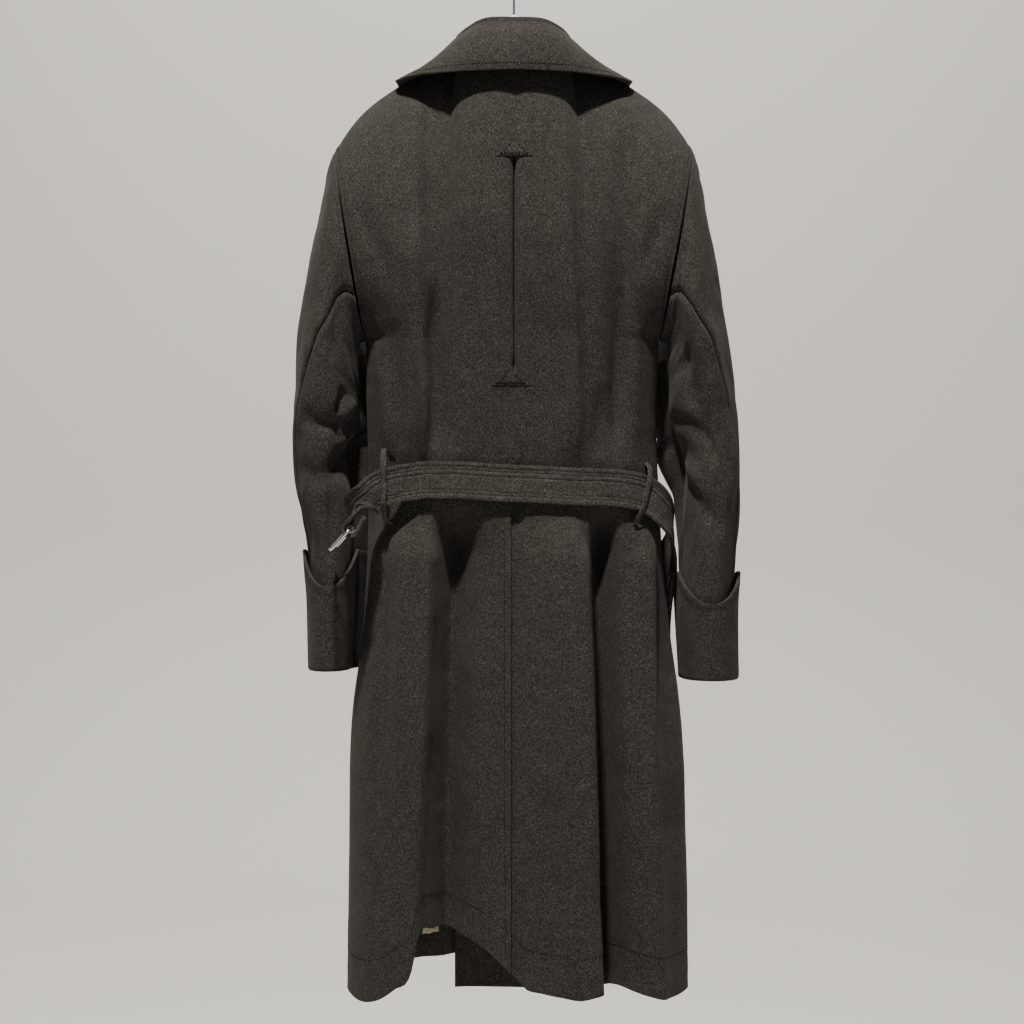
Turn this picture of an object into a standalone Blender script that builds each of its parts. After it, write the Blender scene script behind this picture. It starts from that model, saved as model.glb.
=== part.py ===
"""Military greatcoat on a hanger, seen from behind.

Metres, +Z up. The origin is the inside top of the hanger's hook, where a rail holds it.
The coat's back faces -Y and its front +Y, so -X is the wearer's left.
Each cloth piece is a wall worked out from sections, folds and seams in the tables below.
"""
import math
from collections import namedtuple

import bmesh
import bpy
import numpy as np

# Cloth and seams
CLOTH = 0.0025
DOUBLE_CLOTH = 0.0038
SEAM_GAP = 0.0003
SEAM_PULL = 0.00025
LAYER_DROP = CLOTH + 0.0028

# Heights, from the hook down
NECK_BACK_Z = -0.128
NECK_SIDE_Z = -0.138
NECK_FRONT_Z = -0.196
SHOULDER_TIP_Z = -0.258
UNDERARM_Z = -0.500
WAIST_Z = -0.690
HEM_Z = -1.343

# Widths and depths
NECK_HALF_WIDTH = 0.071
NECK_BACK_DEPTH = 0.056
NECK_FRONT_DEPTH = 0.062
BLADE_DEPTH = 0.088
CHEST_DEPTH = 0.082
FRONT_OVERLAP = 0.078
VENT_UNDERLAP = 0.040
SQUARENESS = 0.80
SIDE_FOLD_FADE = 16

Section = namedtuple("Section", "name z left right back front")
SECTIONS = (
    Section("hem", HEM_Z, 0.213, 0.222, 0.098, 0.092),
    Section("low skirt", -1.160, 0.211, 0.220, 0.094, 0.088),
    Section("mid skirt", -0.980, 0.207, 0.213, 0.088, 0.083),
    Section("hip", -0.860, 0.192, 0.198, 0.080, 0.077),
    Section("under belt", -0.760, 0.187, 0.189, 0.072, 0.070),
    Section("waist", WAIST_Z, 0.186, 0.185, 0.068, 0.067),
    Section("rib", -0.600, 0.188, 0.182, 0.073, 0.070),
    Section("underarm", UNDERARM_Z, 0.190, 0.185, 0.080, 0.074),
)

# Each fold is a soft ridge (height > 0) or trough (height < 0) on the back or front.
# Its line runs from (x_top, z_top) to (x_low, z_low); inner and outer are its widths
# towards the coat's centre line and towards its side seam.
Fold = namedtuple("Fold", "name x_top z_top x_low z_low inner outer height")
BACK_FOLDS = (
    Fold("left skirt panel", -0.124, -0.712, -0.147, -1.500, 0.014, 0.050, 0.024),
    Fold("left skirt recess", -0.088, -0.715, -0.100, -1.500, 0.050, 0.014, -0.026),
    Fold("vent panel", 0.064, -0.712, 0.086, -1.500, 0.050, 0.014, 0.018),
    Fold("right skirt valley", 0.112, -0.712, 0.124, -1.500, 0.014, 0.017, -0.024),
    Fold("right skirt panel", 0.158, -0.715, 0.172, -1.500, 0.018, 0.026, 0.012),
    Fold("left blade valley", -0.108, -0.200, -0.096, -0.670, 0.022, 0.010, -0.006),
    Fold("left waist ridge", -0.124, -0.360, -0.117, -0.670, 0.008, 0.028, 0.007),
    Fold("right blade valley", 0.144, -0.230, 0.124, -0.670, 0.014, 0.014, -0.008),
    Fold("right waist ridge", 0.068, -0.400, 0.078, -0.670, 0.020, 0.012, 0.005),
)
FRONT_FOLDS = (
    Fold("left front panel", -0.128, -0.715, -0.146, -1.500, 0.034, 0.020, 0.014),
    Fold("left front valley", -0.092, -0.740, -0.100, -1.500, 0.016, 0.016, -0.012),
    Fold("right front panel", 0.126, -0.715, 0.142, -1.500, 0.030, 0.022, 0.013),
    Fold("right front valley", 0.166, -0.720, 0.178, -1.500, 0.014, 0.014, -0.010),
    Fold("left chest valley", -0.132, -0.300, -0.120, -0.660, 0.016, 0.016, -0.006),
    Fold("right chest valley", 0.134, -0.300, 0.122, -0.660, 0.018, 0.014, -0.007),
)
FOLD_EASE = 0.070

# How far the hem hangs above its lowest line, across the back and each front.
HemPoint = namedtuple("HemPoint", "x lift")
BACK_HEM = (
    HemPoint(-0.213, 0.020), HemPoint(-0.199, 0.014), HemPoint(-0.175, 0.016),
    HemPoint(-0.149, 0.033), HemPoint(-0.128, 0.055), HemPoint(-0.118, 0.098),
    HemPoint(-0.100, 0.104), HemPoint(-0.070, 0.097), HemPoint(-0.030, 0.076),
    HemPoint(-0.018, 0.065), HemPoint(-0.001, 0.049), HemPoint(0.015, 0.033),
    HemPoint(0.033, 0.029), HemPoint(0.060, 0.025), HemPoint(0.084, 0.022),
    HemPoint(0.104, 0.027), HemPoint(0.127, 0.032), HemPoint(0.166, 0.022),
    HemPoint(0.200, 0.016), HemPoint(0.222, 0.020),
)
LEFT_FRONT_HEM = (HemPoint(-0.213, 0.020), HemPoint(-0.110, 0.040), HemPoint(0.078, 0.054))
RIGHT_FRONT_HEM = (HemPoint(-0.078, 0.000), HemPoint(0.120, 0.002), HemPoint(0.222, 0.020))
HEM_START_Z = -0.860
SIDE_HEM_LIFT = 0.020

# The centre back: nominal columns beside the seam, and where each goes in the closed pleat.
CentreColumn = namedtuple("CentreColumn", "flat pleat_x pleat_depth")
CENTRE_COLUMNS = (
    CentreColumn(0.0000, 0.0000, 0.020),
    CentreColumn(0.0030, 0.0002, 0.010),
    CentreColumn(0.0065, 0.0018, 0.0016),
    CentreColumn(0.0130, 0.0075, 0.000),
)
PLEAT_TOP_Z = -0.268
PLEAT_LOW_Z = -0.551
PLEAT_EASE = 0.030
VENT_STEP_Z = -0.650
VENT_TOP_Z = -0.690
VENT_OPEN_Z = -0.730

# The left half of the vent laps over the right half, whose columns slide under it.
VENT_LAP = 0.004
VENT_COLUMNS = (-VENT_UNDERLAP, -VENT_UNDERLAP / 2, -0.002, 0.016)
VENT_BLEND = 0.011

# The shoulder seam from the neck to the sleeve head, by share of its length.
ShoulderPoint = namedtuple("ShoulderPoint", "share x z")
SHOULDER = (
    ShoulderPoint(0.0, NECK_HALF_WIDTH, NECK_SIDE_Z),
    ShoulderPoint(0.45, 0.150, -0.1755),
    ShoulderPoint(0.80, 0.203, -0.2190),
    ShoulderPoint(1.0, 0.230, SHOULDER_TIP_Z),
)

# The centre back above the underarm, by share of its height.
BACK_RISE = (0.0, 0.45, 0.8, 1.0)
NAPE_DEPTH = 0.076
NECK_CENTRE_SPREAD = 0.8
FRONT_CORNER_DROP = 0.012
FRONT_LAP_REACH = 0.024
FRONT_LAP_BLEND = 0.020

# Numbers of faces
SHOULDER_COLUMNS = 7
NECK_COLUMNS = 4
SIDE_COLUMNS = SHOULDER_COLUMNS + NECK_COLUMNS
OVERLAP_COLUMNS = 4
FRONT_NECK_COLUMNS = 3
FRONT_COLUMNS = OVERLAP_COLUMNS + FRONT_NECK_COLUMNS + SHOULDER_COLUMNS
ARM_ROWS = 9
BODY_ROWS = (HEM_Z, -1.290, -1.225, -1.155, -1.080, -1.005, -0.930, -0.865, -0.810, -0.765,
             VENT_OPEN_Z, VENT_TOP_Z, VENT_STEP_Z, -0.608, -0.570, -0.535, UNDERARM_Z)

# Sleeves: each ring lies across the sleeve between its outer and its inner point.
SleeveRing = namedtuple("SleeveRing", "name outer_x outer_z inner_x inner_z depth swell")
LEFT_SLEEVE = (
    SleeveRing("armhole", 0.2300, SHOULDER_TIP_Z, 0.1900, UNDERARM_Z, 0.070, 0.000),
    SleeveRing("crown", 0.2400, -0.290, 0.1975, -0.5035, 0.075, 0.003),
    SleeveRing("head", 0.2520, -0.346, 0.2000, -0.518, 0.078, 0.020),
    SleeveRing("upper arm", 0.2640, -0.414, 0.1990, -0.540, 0.079, 0.042),
    SleeveRing("bicep", 0.2740, -0.475, 0.1990, -0.565, 0.078, 0.050),
    SleeveRing("above elbow", 0.2800, -0.550, 0.2010, -0.605, 0.075, 0.054),
    SleeveRing("elbow", 0.2830, -0.615, 0.2140, -0.642, 0.071, 0.076),
    SleeveRing("forearm", 0.2780, -0.690, 0.2060, -0.700, 0.068, 0.058),
    SleeveRing("wrist", 0.2640, -0.755, 0.2060, -0.757, 0.066, 0.040),
    SleeveRing("in the cuff", 0.2590, -0.830, 0.2090, -0.830, 0.064, 0.028),
    SleeveRing("end", 0.2590, -0.912, 0.2110, -0.912, 0.064, 0.022),
)
RIGHT_SLEEVE = (
    SleeveRing("armhole", 0.2300, SHOULDER_TIP_Z, 0.1850, UNDERARM_Z, 0.070, 0.000),
    SleeveRing("crown", 0.2370, -0.290, 0.1935, -0.5035, 0.075, 0.003),
    SleeveRing("head", 0.2480, -0.346, 0.1960, -0.518, 0.078, 0.020),
    SleeveRing("upper arm", 0.2600, -0.414, 0.1950, -0.540, 0.079, 0.042),
    SleeveRing("bicep", 0.2700, -0.475, 0.1960, -0.565, 0.078, 0.052),
    SleeveRing("above elbow", 0.2810, -0.550, 0.2000, -0.605, 0.075, 0.060),
    SleeveRing("elbow", 0.2880, -0.625, 0.2170, -0.650, 0.071, 0.080),
    SleeveRing("forearm", 0.2880, -0.700, 0.2170, -0.705, 0.068, 0.036),
    SleeveRing("wrist", 0.2830, -0.775, 0.2165, -0.777, 0.066, 0.014),
    SleeveRing("in the cuff", 0.2800, -0.850, 0.2155, -0.850, 0.064, 0.008),
    SleeveRing("end", 0.2830, -0.924, 0.2170, -0.924, 0.064, 0.006),
)
SLEEVE_CROWN = np.linspace(0.0, 0.1, 4)
SLEEVE_PLACES = np.concatenate([SLEEVE_CROWN, np.linspace(0.1, 1.0, 15)[1:]])
SLEEVE_SIDES = 2 * ARM_ROWS
TOP_SLEEVE_FROM = 6
TOP_SLEEVE_TO = 14

Cuff = namedtuple("Cuff", "name side rings z_low z_rim back_dip front_dip flare")
CUFFS = (
    Cuff("cuff_left", -1, LEFT_SLEEVE, -0.918, -0.768, 0.046, 0.020, 0.0035),
    Cuff("cuff_right", 1, RIGHT_SLEEVE, -0.930, -0.796, 0.040, 0.018, 0.0035),
)
CUFF_ROWS = 6
CUFF_DIP_POWER = 1.5
CUFF_GAP = 0.0006
CUFF_EDGE_ROUND = 0.0012
CUFF_EDGE_DROP = 0.0008
CUFF_LIFT = 0.0016

# Collar: its roll line at the top, its outer edge, and its seam on the neckline,
# for one half from the centre back round to the centre front.
CollarStation = namedtuple("CollarStation", "name roll_x roll_y roll_z edge_x edge_y edge_z belly")
COLLAR = (
    CollarStation("centre back", 0.000, -0.062, -0.0970, 0.000, -0.090, -0.1680, 0.007),
    CollarStation("back", 0.034, -0.058, -0.0976, 0.062, -0.078, -0.1680, 0.006),
    CollarStation("back corner", 0.055, -0.040, -0.1040, 0.118, -0.048, -0.1670, 0.000),
    CollarStation("side", 0.068, -0.014, -0.1105, 0.148, -0.024, -0.1705, -0.002),
    CollarStation("shoulder", 0.073, 0.014, -0.1215, 0.150, 0.004, -0.1690, 0.001),
    CollarStation("side front", 0.067, 0.044, -0.1395, 0.138, 0.066, -0.1875, 0.003),
    CollarStation("front", 0.042, 0.066, -0.1610, 0.104, 0.104, -0.2345, 0.004),
    CollarStation("end", 0.012, 0.076, -0.1740, 0.062, 0.116, -0.2740, 0.004),
)
COLLAR_COLUMNS = 26
COLLAR_FALL_ROWS = 6
COLLAR_ROLL_RADIUS = 0.006
COLLAR_ROLL_SHARES = (0.0, 0.25, 0.5, 0.75, 1.0)
COLLAR_STAND_SHARES = (0.0, 0.34, 0.68)
COLLAR_SEAM_REACH = 0.985
COLLAR_SEAM_RISE = 0.0005

# Belt: angle round the coat (0 centre back, +90 the wearer's right side), height of
# its middle line and how far it stands off the coat.
BELT_WIDTH = 0.045
BELT_THICK = 0.0038
BeltStation = namedtuple("BeltStation", "name angle z lift")
BELT = (
    BeltStation("left back", -36, -0.6800, 0.0016),
    BeltStation("left middle", -30, -0.6785, 0.0012),
    BeltStation("back", -15, -0.6790, 0.0012),
    BeltStation("centre", 3, -0.6840, 0.0016),
    BeltStation("right back", 30, -0.6875, 0.0012),
    BeltStation("right loop", 55, -0.6960, 0.0020),
    BeltStation("right corner", 72, -0.7170, 0.005),
    BeltStation("right side", 90, -0.7450, 0.008),
    BeltStation("turning down", 106, -0.7850, 0.007),
    BeltStation("right front", 117, -0.8500, 0.008),
    BeltStation("hanging", 122, -0.9400, 0.010),
    BeltStation("low", 124, -1.0600, 0.010),
    BeltStation("tongue", 125, -1.2000, 0.010),
)
BELT_STEPS = 46
BELT_TWIST = 2.4
# The middle of the belt's outer face where its buckle end sags away from the coat.
BeltSag = namedtuple("BeltSag", "name x y z")
BELT_SAG = (
    BeltSag("bend", -0.1880, -0.0930, -0.7090),
    BeltSag("past the loop", -0.1720, -0.0810, -0.6930),
    BeltSag("in the loop", -0.1520, -0.0740, -0.6850),
)
BUCKLE_BAR = (-0.2020, -0.1010, -0.7400)
BUCKLE_LENGTH = 0.034
BUCKLE_WIDTH = 0.054
BUCKLE_WIRE = 0.0019
BUCKLE_TILT = math.radians(42)
BELT_END_ROUND = 0.0062
BUCKLE_CORNER = 0.006
BUCKLE_CORNER_TURNS = (0, 30, 60, 90)
PRONG_WIRE = 0.0013
PRONG_SLOT = 0.008
PRONG_CLEAR = 0.00035
PRONG_EYE_TURNS = tuple(range(265, -1, -24))
PRONG_PAST_FRAME = 0.001
BELT_END_STEPS = 8
BELT_FREE_STEPS = 14
BELT_END_DROP = 0.010
BELT_POINT = (0.90, 0.68, 0.40, 0.08)
# The belt's short turned-back end: how far back from the bar and how far in from it.
TurnBack = namedtuple("TurnBack", "back stand")
BELT_TURN_BACK = (TurnBack(0.024, 0.0016), TurnBack(0.016, 0.0022), TurnBack(0.008, 0.0046))
SLOT_CUTTER = (0.030, PRONG_SLOT, 0.026)
SLOT_CUTTER_RISE = 0.001

# Belt loops: each point's angle round the coat, height, and distance out from the cloth.
LoopPoint = namedtuple("LoopPoint", "angle z proud")
BeltLoop = namedtuple("BeltLoop", "name points")
LOOP_WIDTH = 0.007
LOOP_THICK = 0.002
LOOP_STEPS = 16
BELT_LOOPS = (
    BeltLoop("belt_loop_left", (
        LoopPoint(-50, -0.6540, 0.0014), LoopPoint(-50, -0.6440, 0.0120),
        LoopPoint(-49, -0.6390, 0.0260), LoopPoint(-48, -0.6550, 0.0390),
        LoopPoint(-48, -0.6850, 0.0420), LoopPoint(-48, -0.7120, 0.0420),
        LoopPoint(-49, -0.7290, 0.0220), LoopPoint(-50, -0.7350, 0.0018))),
    BeltLoop("belt_loop_right", (
        LoopPoint(62, -0.6560, 0.0018), LoopPoint(62, -0.6620, 0.0080),
        LoopPoint(60, -0.6720, 0.0130), LoopPoint(56, -0.6960, 0.0150),
        LoopPoint(52, -0.7200, 0.0130), LoopPoint(50, -0.7300, 0.0080),
        LoopPoint(50, -0.7340, 0.0022))),
)

PleatTack = namedtuple("PleatTack", "name x apex_z base_z half_width")
PLEAT_TACKS = (
    PleatTack("pleat_tack_upper", 0.000, -0.2557, -0.2757, 0.024),
    PleatTack("pleat_tack_lower", -0.004, -0.5432, -0.5606, 0.025),
)
TACK_ROWS = 4
TACK_COLUMNS = 6
TACK_THICK = 0.0010
TACK_CLEAR = 0.0006
TACK_APEX_SHARE = 0.06
TACK_SEAT_X = 0.013

BUTTON_ROWS_Z = (-0.350, -0.470, -0.590)
BUTTON_X = 0.052
BUTTON_CLEAR = 0.0006
BUTTON_STEPS = 14
# The button's turned outline from its face, round its raised rim, to its thread shank.
ProfilePoint = namedtuple("ProfilePoint", "radius height")
BUTTON_PROFILE = (
    ProfilePoint(0.0, 0.0042), ProfilePoint(0.0072, 0.0042), ProfilePoint(0.0092, 0.0052),
    ProfilePoint(0.0112, 0.0050), ProfilePoint(0.0120, 0.0040), ProfilePoint(0.0104, 0.0020),
    ProfilePoint(0.0024, 0.0018), ProfilePoint(0.0024, 0.0), ProfilePoint(0.0, 0.0),
)
BUTTON_SHANK = BUTTON_PROFILE[-2].radius

HEM_TAPE_X = -0.1075
HEM_TAPE_WIDTH = 0.020
HEM_TAPE_THICK = 0.001
HEM_TAPE_CLEAR = 0.0014
HEM_TAPE_ABOVE = 0.012
HEM_TAPE_BELOW = 0.007

# The hanger's outline for its +X half, from the top middle round to the bottom middle.
EdgePoint = namedtuple("EdgePoint", "x z")
HANGER_EDGE = (
    EdgePoint(0.000, -0.0830), EdgePoint(0.030, -0.0885), EdgePoint(0.050, -0.1160),
    EdgePoint(0.064, -0.1460), EdgePoint(0.085, -0.1560), EdgePoint(0.150, -0.1846),
    EdgePoint(0.196, -0.2216), EdgePoint(0.190, -0.2420), EdgePoint(0.145, -0.2080),
    EdgePoint(0.080, -0.1830), EdgePoint(0.045, -0.1580), EdgePoint(0.000, -0.1300),
)
HANGER_DEPTH = 0.012
HANGER_ROUND = 0.0040
HANGER_WIRE = 0.0016
HOOK_RADIUS = 0.020
HOOK_STEM = ((0.0, -0.066), (0.0, -0.054), (0.0022, -0.0455))
HOOK_TURNS = tuple(range(-55, 196, 25))


def hermite(at, knots, values):
    """Smooth value at a place in a table: cubic pieces with central-difference slopes."""
    knots = np.asarray(knots, float)
    values = np.asarray(values, float)
    at = np.clip(np.asarray(at, float), knots[0], knots[-1])
    slopes = np.gradient(values, knots, axis=0)
    low = np.clip(np.searchsorted(knots, at, side="right") - 1, 0, len(knots) - 2)
    span = knots[low + 1] - knots[low]
    t = (at - knots[low]) / span
    if values.ndim > 1:
        t = t[..., None]
        span = span[..., None]
    return ((2 * t ** 3 - 3 * t ** 2 + 1) * values[low] + (t ** 3 - 2 * t ** 2 + t) * span * slopes[low]
            + (3 * t ** 2 - 2 * t ** 3) * values[low + 1] + (t ** 3 - t ** 2) * span * slopes[low + 1])


def smoothstep(value):
    """0 below 0, 1 above 1, and a smooth rise between."""
    t = np.clip(value, 0.0, 1.0)
    return t * t * (3.0 - 2.0 * t)


def section_value(field, z):
    """One field of the body sections at a height."""
    return hermite(z, [row.z for row in SECTIONS], [getattr(row, field) for row in SECTIONS])


def signed_power(value, power):
    """The power of a number's size, with its sign kept."""
    return np.sign(value) * np.abs(value) ** power


def fold_height(folds, x, z):
    """Sum of the soft ridges and troughs of one side of the coat at a place on it."""
    total = np.zeros(np.broadcast(x, z).shape)
    for fold in folds:
        along = np.clip((fold.z_top - z) / (fold.z_top - fold.z_low), 0.0, 1.0)
        line = fold.x_top + (fold.x_low - fold.x_top) * along
        offset = (x - line) * np.sign(fold.x_top)
        width = np.where(offset > 0, fold.outer, fold.inner)
        grown = smoothstep((fold.z_top - z) / FOLD_EASE) * smoothstep((z - fold.z_low) / FOLD_EASE)
        total = total + fold.height * np.exp(-(offset / width) ** 2) * grown
    return total


def body_point(angle, z, proud=0.0):
    """Point of the coat's outer face at an angle round it, moved out by proud.

    A squared-off oval of the section's widths and depths, pushed out along its own
    outward direction by the folds, which fade to nothing at the side seams.
    """
    angle, z = np.broadcast_arrays(np.asarray(angle, float), np.asarray(z, float))
    sine = np.sin(angle)
    cosine = np.cos(angle)
    half = np.where(sine >= 0, section_value("right", z), section_value("left", z))
    depth = np.where(cosine >= 0, section_value("back", z), section_value("front", z))
    x = half * signed_power(sine, SQUARENESS)
    y = -depth * signed_power(cosine, SQUARENESS)
    steep = 2.0 / SQUARENESS - 1.0
    out = np.stack([signed_power(x / half, steep) / half, signed_power(y / depth, steep) / depth], axis=-1)
    out = out / np.linalg.norm(out, axis=-1, keepdims=True)
    height = np.where(cosine >= 0, fold_height(BACK_FOLDS, x, z), fold_height(FRONT_FOLDS, x, z))
    height = height * (1.0 - np.abs(sine) ** SIDE_FOLD_FADE) + proud
    return np.stack([x + out[..., 0] * height, y + out[..., 1] * height, z], axis=-1)


def angle_at(x, z, front=False):
    """Angle round the coat at which its plain oval has this x."""
    half = np.where(np.asarray(x) >= 0, section_value("right", z), section_value("left", z))
    sine = signed_power(np.clip(x / half, -1.0, 1.0), 1.0 / SQUARENESS)
    angle = np.arcsin(sine)
    return np.pi - angle if front else angle


def shaped_hem(points, hem):
    """Grid of points with its lower rows raised to the hem's own line."""
    table_x = [point.x for point in hem]
    lift = hermite(points[..., 0], table_x, [point.lift for point in hem])
    share = np.clip((HEM_START_Z - points[..., 2]) / (HEM_START_Z - HEM_Z), 0.0, 1.0)
    lift[:, -1] = SIDE_HEM_LIFT
    raised = points.copy()
    raised[..., 2] += lift * share
    return raised


def sleeve_points(rings, side, at):
    """Rings of the sleeve at places along it, 0 the armhole and 1 its end.

    The front of the sleeve's inner side swells towards the coat: less the sine, times the
    square of the share that is left on the way to the outer side.
    """
    knots = np.linspace(0.0, 1.0, len(rings))
    outer = hermite(at, knots, [(side * r.outer_x, r.outer_z) for r in rings])
    inner = hermite(at, knots, [(side * r.inner_x, r.inner_z) for r in rings])
    depth = hermite(at, knots, [r.depth for r in rings])
    phi = np.linspace(0.0, 2.0 * np.pi, SLEEVE_SIDES, endpoint=False)
    swing = (1.0 - np.cos(phi)) / 2.0
    across = inner[:, None, :] + (outer - inner)[:, None, :] * swing[None, :, None]
    y = -depth[:, None] * np.sin(phi)[None, :]
    swell = hermite(at, knots, [r.swell for r in rings])[:, None] * (np.maximum(-np.sin(phi), 0.0) * (1.0 - swing) ** 2)[None, :]
    return np.stack([across[..., 0] - side * swell, y, across[..., 1]], axis=-1)


def neckline(angle):
    """Point of the neck seam at an angle round it."""
    back = np.cos(angle) >= 0
    depth = np.where(back, NECK_BACK_DEPTH, NECK_FRONT_DEPTH)
    drop = np.where(back, NECK_BACK_Z, NECK_FRONT_Z) - NECK_SIDE_Z
    return np.stack([NECK_HALF_WIDTH * np.sin(angle), -depth * np.cos(angle),
                     NECK_SIDE_Z + drop * np.cos(angle) ** 2], axis=-1)


def shoulder_seam(share, side):
    """Point of the shoulder seam, 0 at the neck and 1 at the sleeve head."""
    knots = [point.share for point in SHOULDER]
    x = hermite(share, knots, [point.x for point in SHOULDER])
    z = hermite(share, knots, [point.z for point in SHOULDER])
    return np.stack([side * x, np.zeros_like(x), z], axis=-1)


def column_places():
    """Places of the back's columns: the centre ones by distance, the rest by share of the way."""
    centre = np.array([column.flat for column in CENTRE_COLUMNS])
    shares = np.linspace(0.0, 1.0, SIDE_COLUMNS + 1)[1:]
    return centre, shares


def upper_panel(low_row, top_row, centre_line, arm_line, folds):
    """Upper part of a panel, spanned between its four edges.

    Each point is the low and top edges mixed by height plus the centre and armhole edges
    mixed by width, less the corners counted twice. The folds fade towards every seam.
    """
    rows = len(centre_line)
    v = np.linspace(0.0, 1.0, rows)[:, None, None]
    length = np.concatenate([[0.0], np.cumsum(np.linalg.norm(np.diff(top_row, axis=0), axis=1))])
    u = (length / length[-1])[None, :, None]
    patch = (1 - v) * low_row[None] + v * top_row[None]
    patch = patch + (1 - u) * (centre_line[:, None] - (1 - v) * low_row[0] - v * top_row[0])
    patch = patch + u * (arm_line[:, None] - (1 - v) * low_row[-1] - v * top_row[-1])
    facing = np.sign(low_row[0, 1])
    fade = np.sin(np.pi * np.clip(v[..., 0], 0, 1)) * np.sin(np.pi * np.clip(u[..., 0], 0.0, 1.0)) ** 0.5
    patch[..., 1] += facing * fold_height(folds, patch[..., 0], patch[..., 2]) * fade
    return patch


def back_panel(side):
    """Outer face of one back panel, rows from hem to shoulder, columns from centre to side."""
    centre, shares = column_places()
    rows = []
    for z in BODY_ROWS:
        x = centre.copy()
        vent = float(smoothstep((VENT_TOP_Z - z) / (VENT_TOP_Z - VENT_OPEN_Z)))
        if side > 0:
            x = x + (np.array(VENT_COLUMNS) - x) * vent
        else:
            x = x + VENT_LAP * vent
        inner = angle_at(side * x, z)
        outer = inner[-1] + (side * np.pi / 2 - inner[-1]) * shares
        row = body_point(np.concatenate([inner, outer]), z)
        if side > 0:
            sunk = float(smoothstep((VENT_STEP_Z - z) / (VENT_STEP_Z - VENT_TOP_Z)))
            under = smoothstep((VENT_COLUMNS[-1] - row[:, 0]) / VENT_BLEND) * sunk
            row[:, 1] += LAYER_DROP * under
        rows.append(row)
    lower = np.array(rows)
    low_row = lower[-1]
    middle = centre / NECK_HALF_WIDTH * NECK_CENTRE_SPREAD
    onward = middle[-1] + (1 - middle[-1]) * np.arange(1, NECK_COLUMNS + 1) / NECK_COLUMNS
    neck = neckline(side * np.concatenate([middle, onward]) * np.pi / 2)
    shoulder = shoulder_seam(np.arange(1, SHOULDER_COLUMNS + 1) / SHOULDER_COLUMNS, side)
    top = np.concatenate([neck, shoulder])
    v = np.linspace(0.0, 1.0, ARM_ROWS + 1)
    centre_y = hermite(v, BACK_RISE, [low_row[0, 1], -BLADE_DEPTH, -NAPE_DEPTH, top[0, 1]])
    centre_line = np.stack([np.zeros_like(v), centre_y, UNDERARM_Z + (top[0, 2] - UNDERARM_Z) * v], axis=-1)
    rings = LEFT_SLEEVE if side < 0 else RIGHT_SLEEVE
    arm_line = sleeve_points(rings, side, np.array([0.0]))[0][:ARM_ROWS + 1]
    upper = upper_panel(low_row, top, centre_line, arm_line, BACK_FOLDS)
    grid = np.concatenate([lower, upper[1:]])
    grid = shaped_hem(grid, BACK_HEM)
    z = grid[:, 0, 2]
    closed = smoothstep((PLEAT_TOP_Z - z) / PLEAT_EASE) * smoothstep((z - PLEAT_LOW_Z) / PLEAT_EASE)
    for index, column in enumerate(CENTRE_COLUMNS):
        grid[:, index, 0] += closed * side * (column.pleat_x - column.flat)
        grid[:, index, 1] += closed * column.pleat_depth
    return grid


def front_panel(side):
    """Outer face of one front, rows from hem to shoulder, columns from its edge to the side.

    The wearer's left front laps over the right one, which lies a cloth's width inside.
    """
    shares = np.linspace(0.0, 1.0, FRONT_COLUMNS + 1)
    rows = []
    for z in BODY_ROWS:
        edge = angle_at(-side * FRONT_OVERLAP, z, front=True)
        seam = side * np.pi / 2 + (2 * np.pi if side < 0 else 0.0)
        rows.append(body_point(edge + (seam - edge) * shares, z))
    lower = np.array(rows)
    low_row = lower[-1]
    neck = neckline(side * np.pi * np.linspace(1.0, 0.5, FRONT_NECK_COLUMNS + 1))
    corner = np.array([-side * FRONT_OVERLAP, NECK_FRONT_DEPTH + FRONT_CORNER_DROP,
                       NECK_FRONT_Z - FRONT_CORNER_DROP])
    flap = corner + (neck[0] - corner) * np.arange(OVERLAP_COLUMNS)[:, None] / OVERLAP_COLUMNS
    shoulder = shoulder_seam(np.arange(1, SHOULDER_COLUMNS + 1) / SHOULDER_COLUMNS, side)
    top = np.concatenate([flap, neck, shoulder])
    v = np.linspace(0.0, 1.0, ARM_ROWS + 1)
    centre_line = low_row[0] + (corner - low_row[0]) * v[:, None]
    centre_line[:, 1] = hermite(v, [0, 0.5, 1], [low_row[0, 1], CHEST_DEPTH, corner[1]])
    rings = LEFT_SLEEVE if side < 0 else RIGHT_SLEEVE
    ring = sleeve_points(rings, side, np.array([0.0]))[0]
    arm_line = ring[(-np.arange(ARM_ROWS + 1)) % SLEEVE_SIDES]
    upper = upper_panel(low_row, top, centre_line, arm_line, FRONT_FOLDS)
    grid = np.concatenate([lower, upper[1:]])
    if side > 0:
        outer = front_panel(-1)
        under = smoothstep((FRONT_OVERLAP + FRONT_LAP_REACH - grid[..., 0]) / FRONT_LAP_BLEND)
        covered = on_panel(outer, grid[..., 0], grid[..., 2]) - LAYER_DROP
        grid[..., 1] += (np.minimum(grid[..., 1], covered) - grid[..., 1]) * under
    return shaped_hem(grid, LEFT_FRONT_HEM if side < 0 else RIGHT_FRONT_HEM)


def grid_normals(points, wraps=False):
    """Outward unit directions of a grid, from the differences between its rows and columns."""
    if wraps:
        across = np.roll(points, -1, axis=1) - np.roll(points, 1, axis=1)
    else:
        across = np.gradient(points, axis=1)
    along = np.gradient(points, axis=0)
    normal = np.cross(across, along)
    return normal / np.maximum(np.linalg.norm(normal, axis=-1, keepdims=True), 1e-12)


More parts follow.
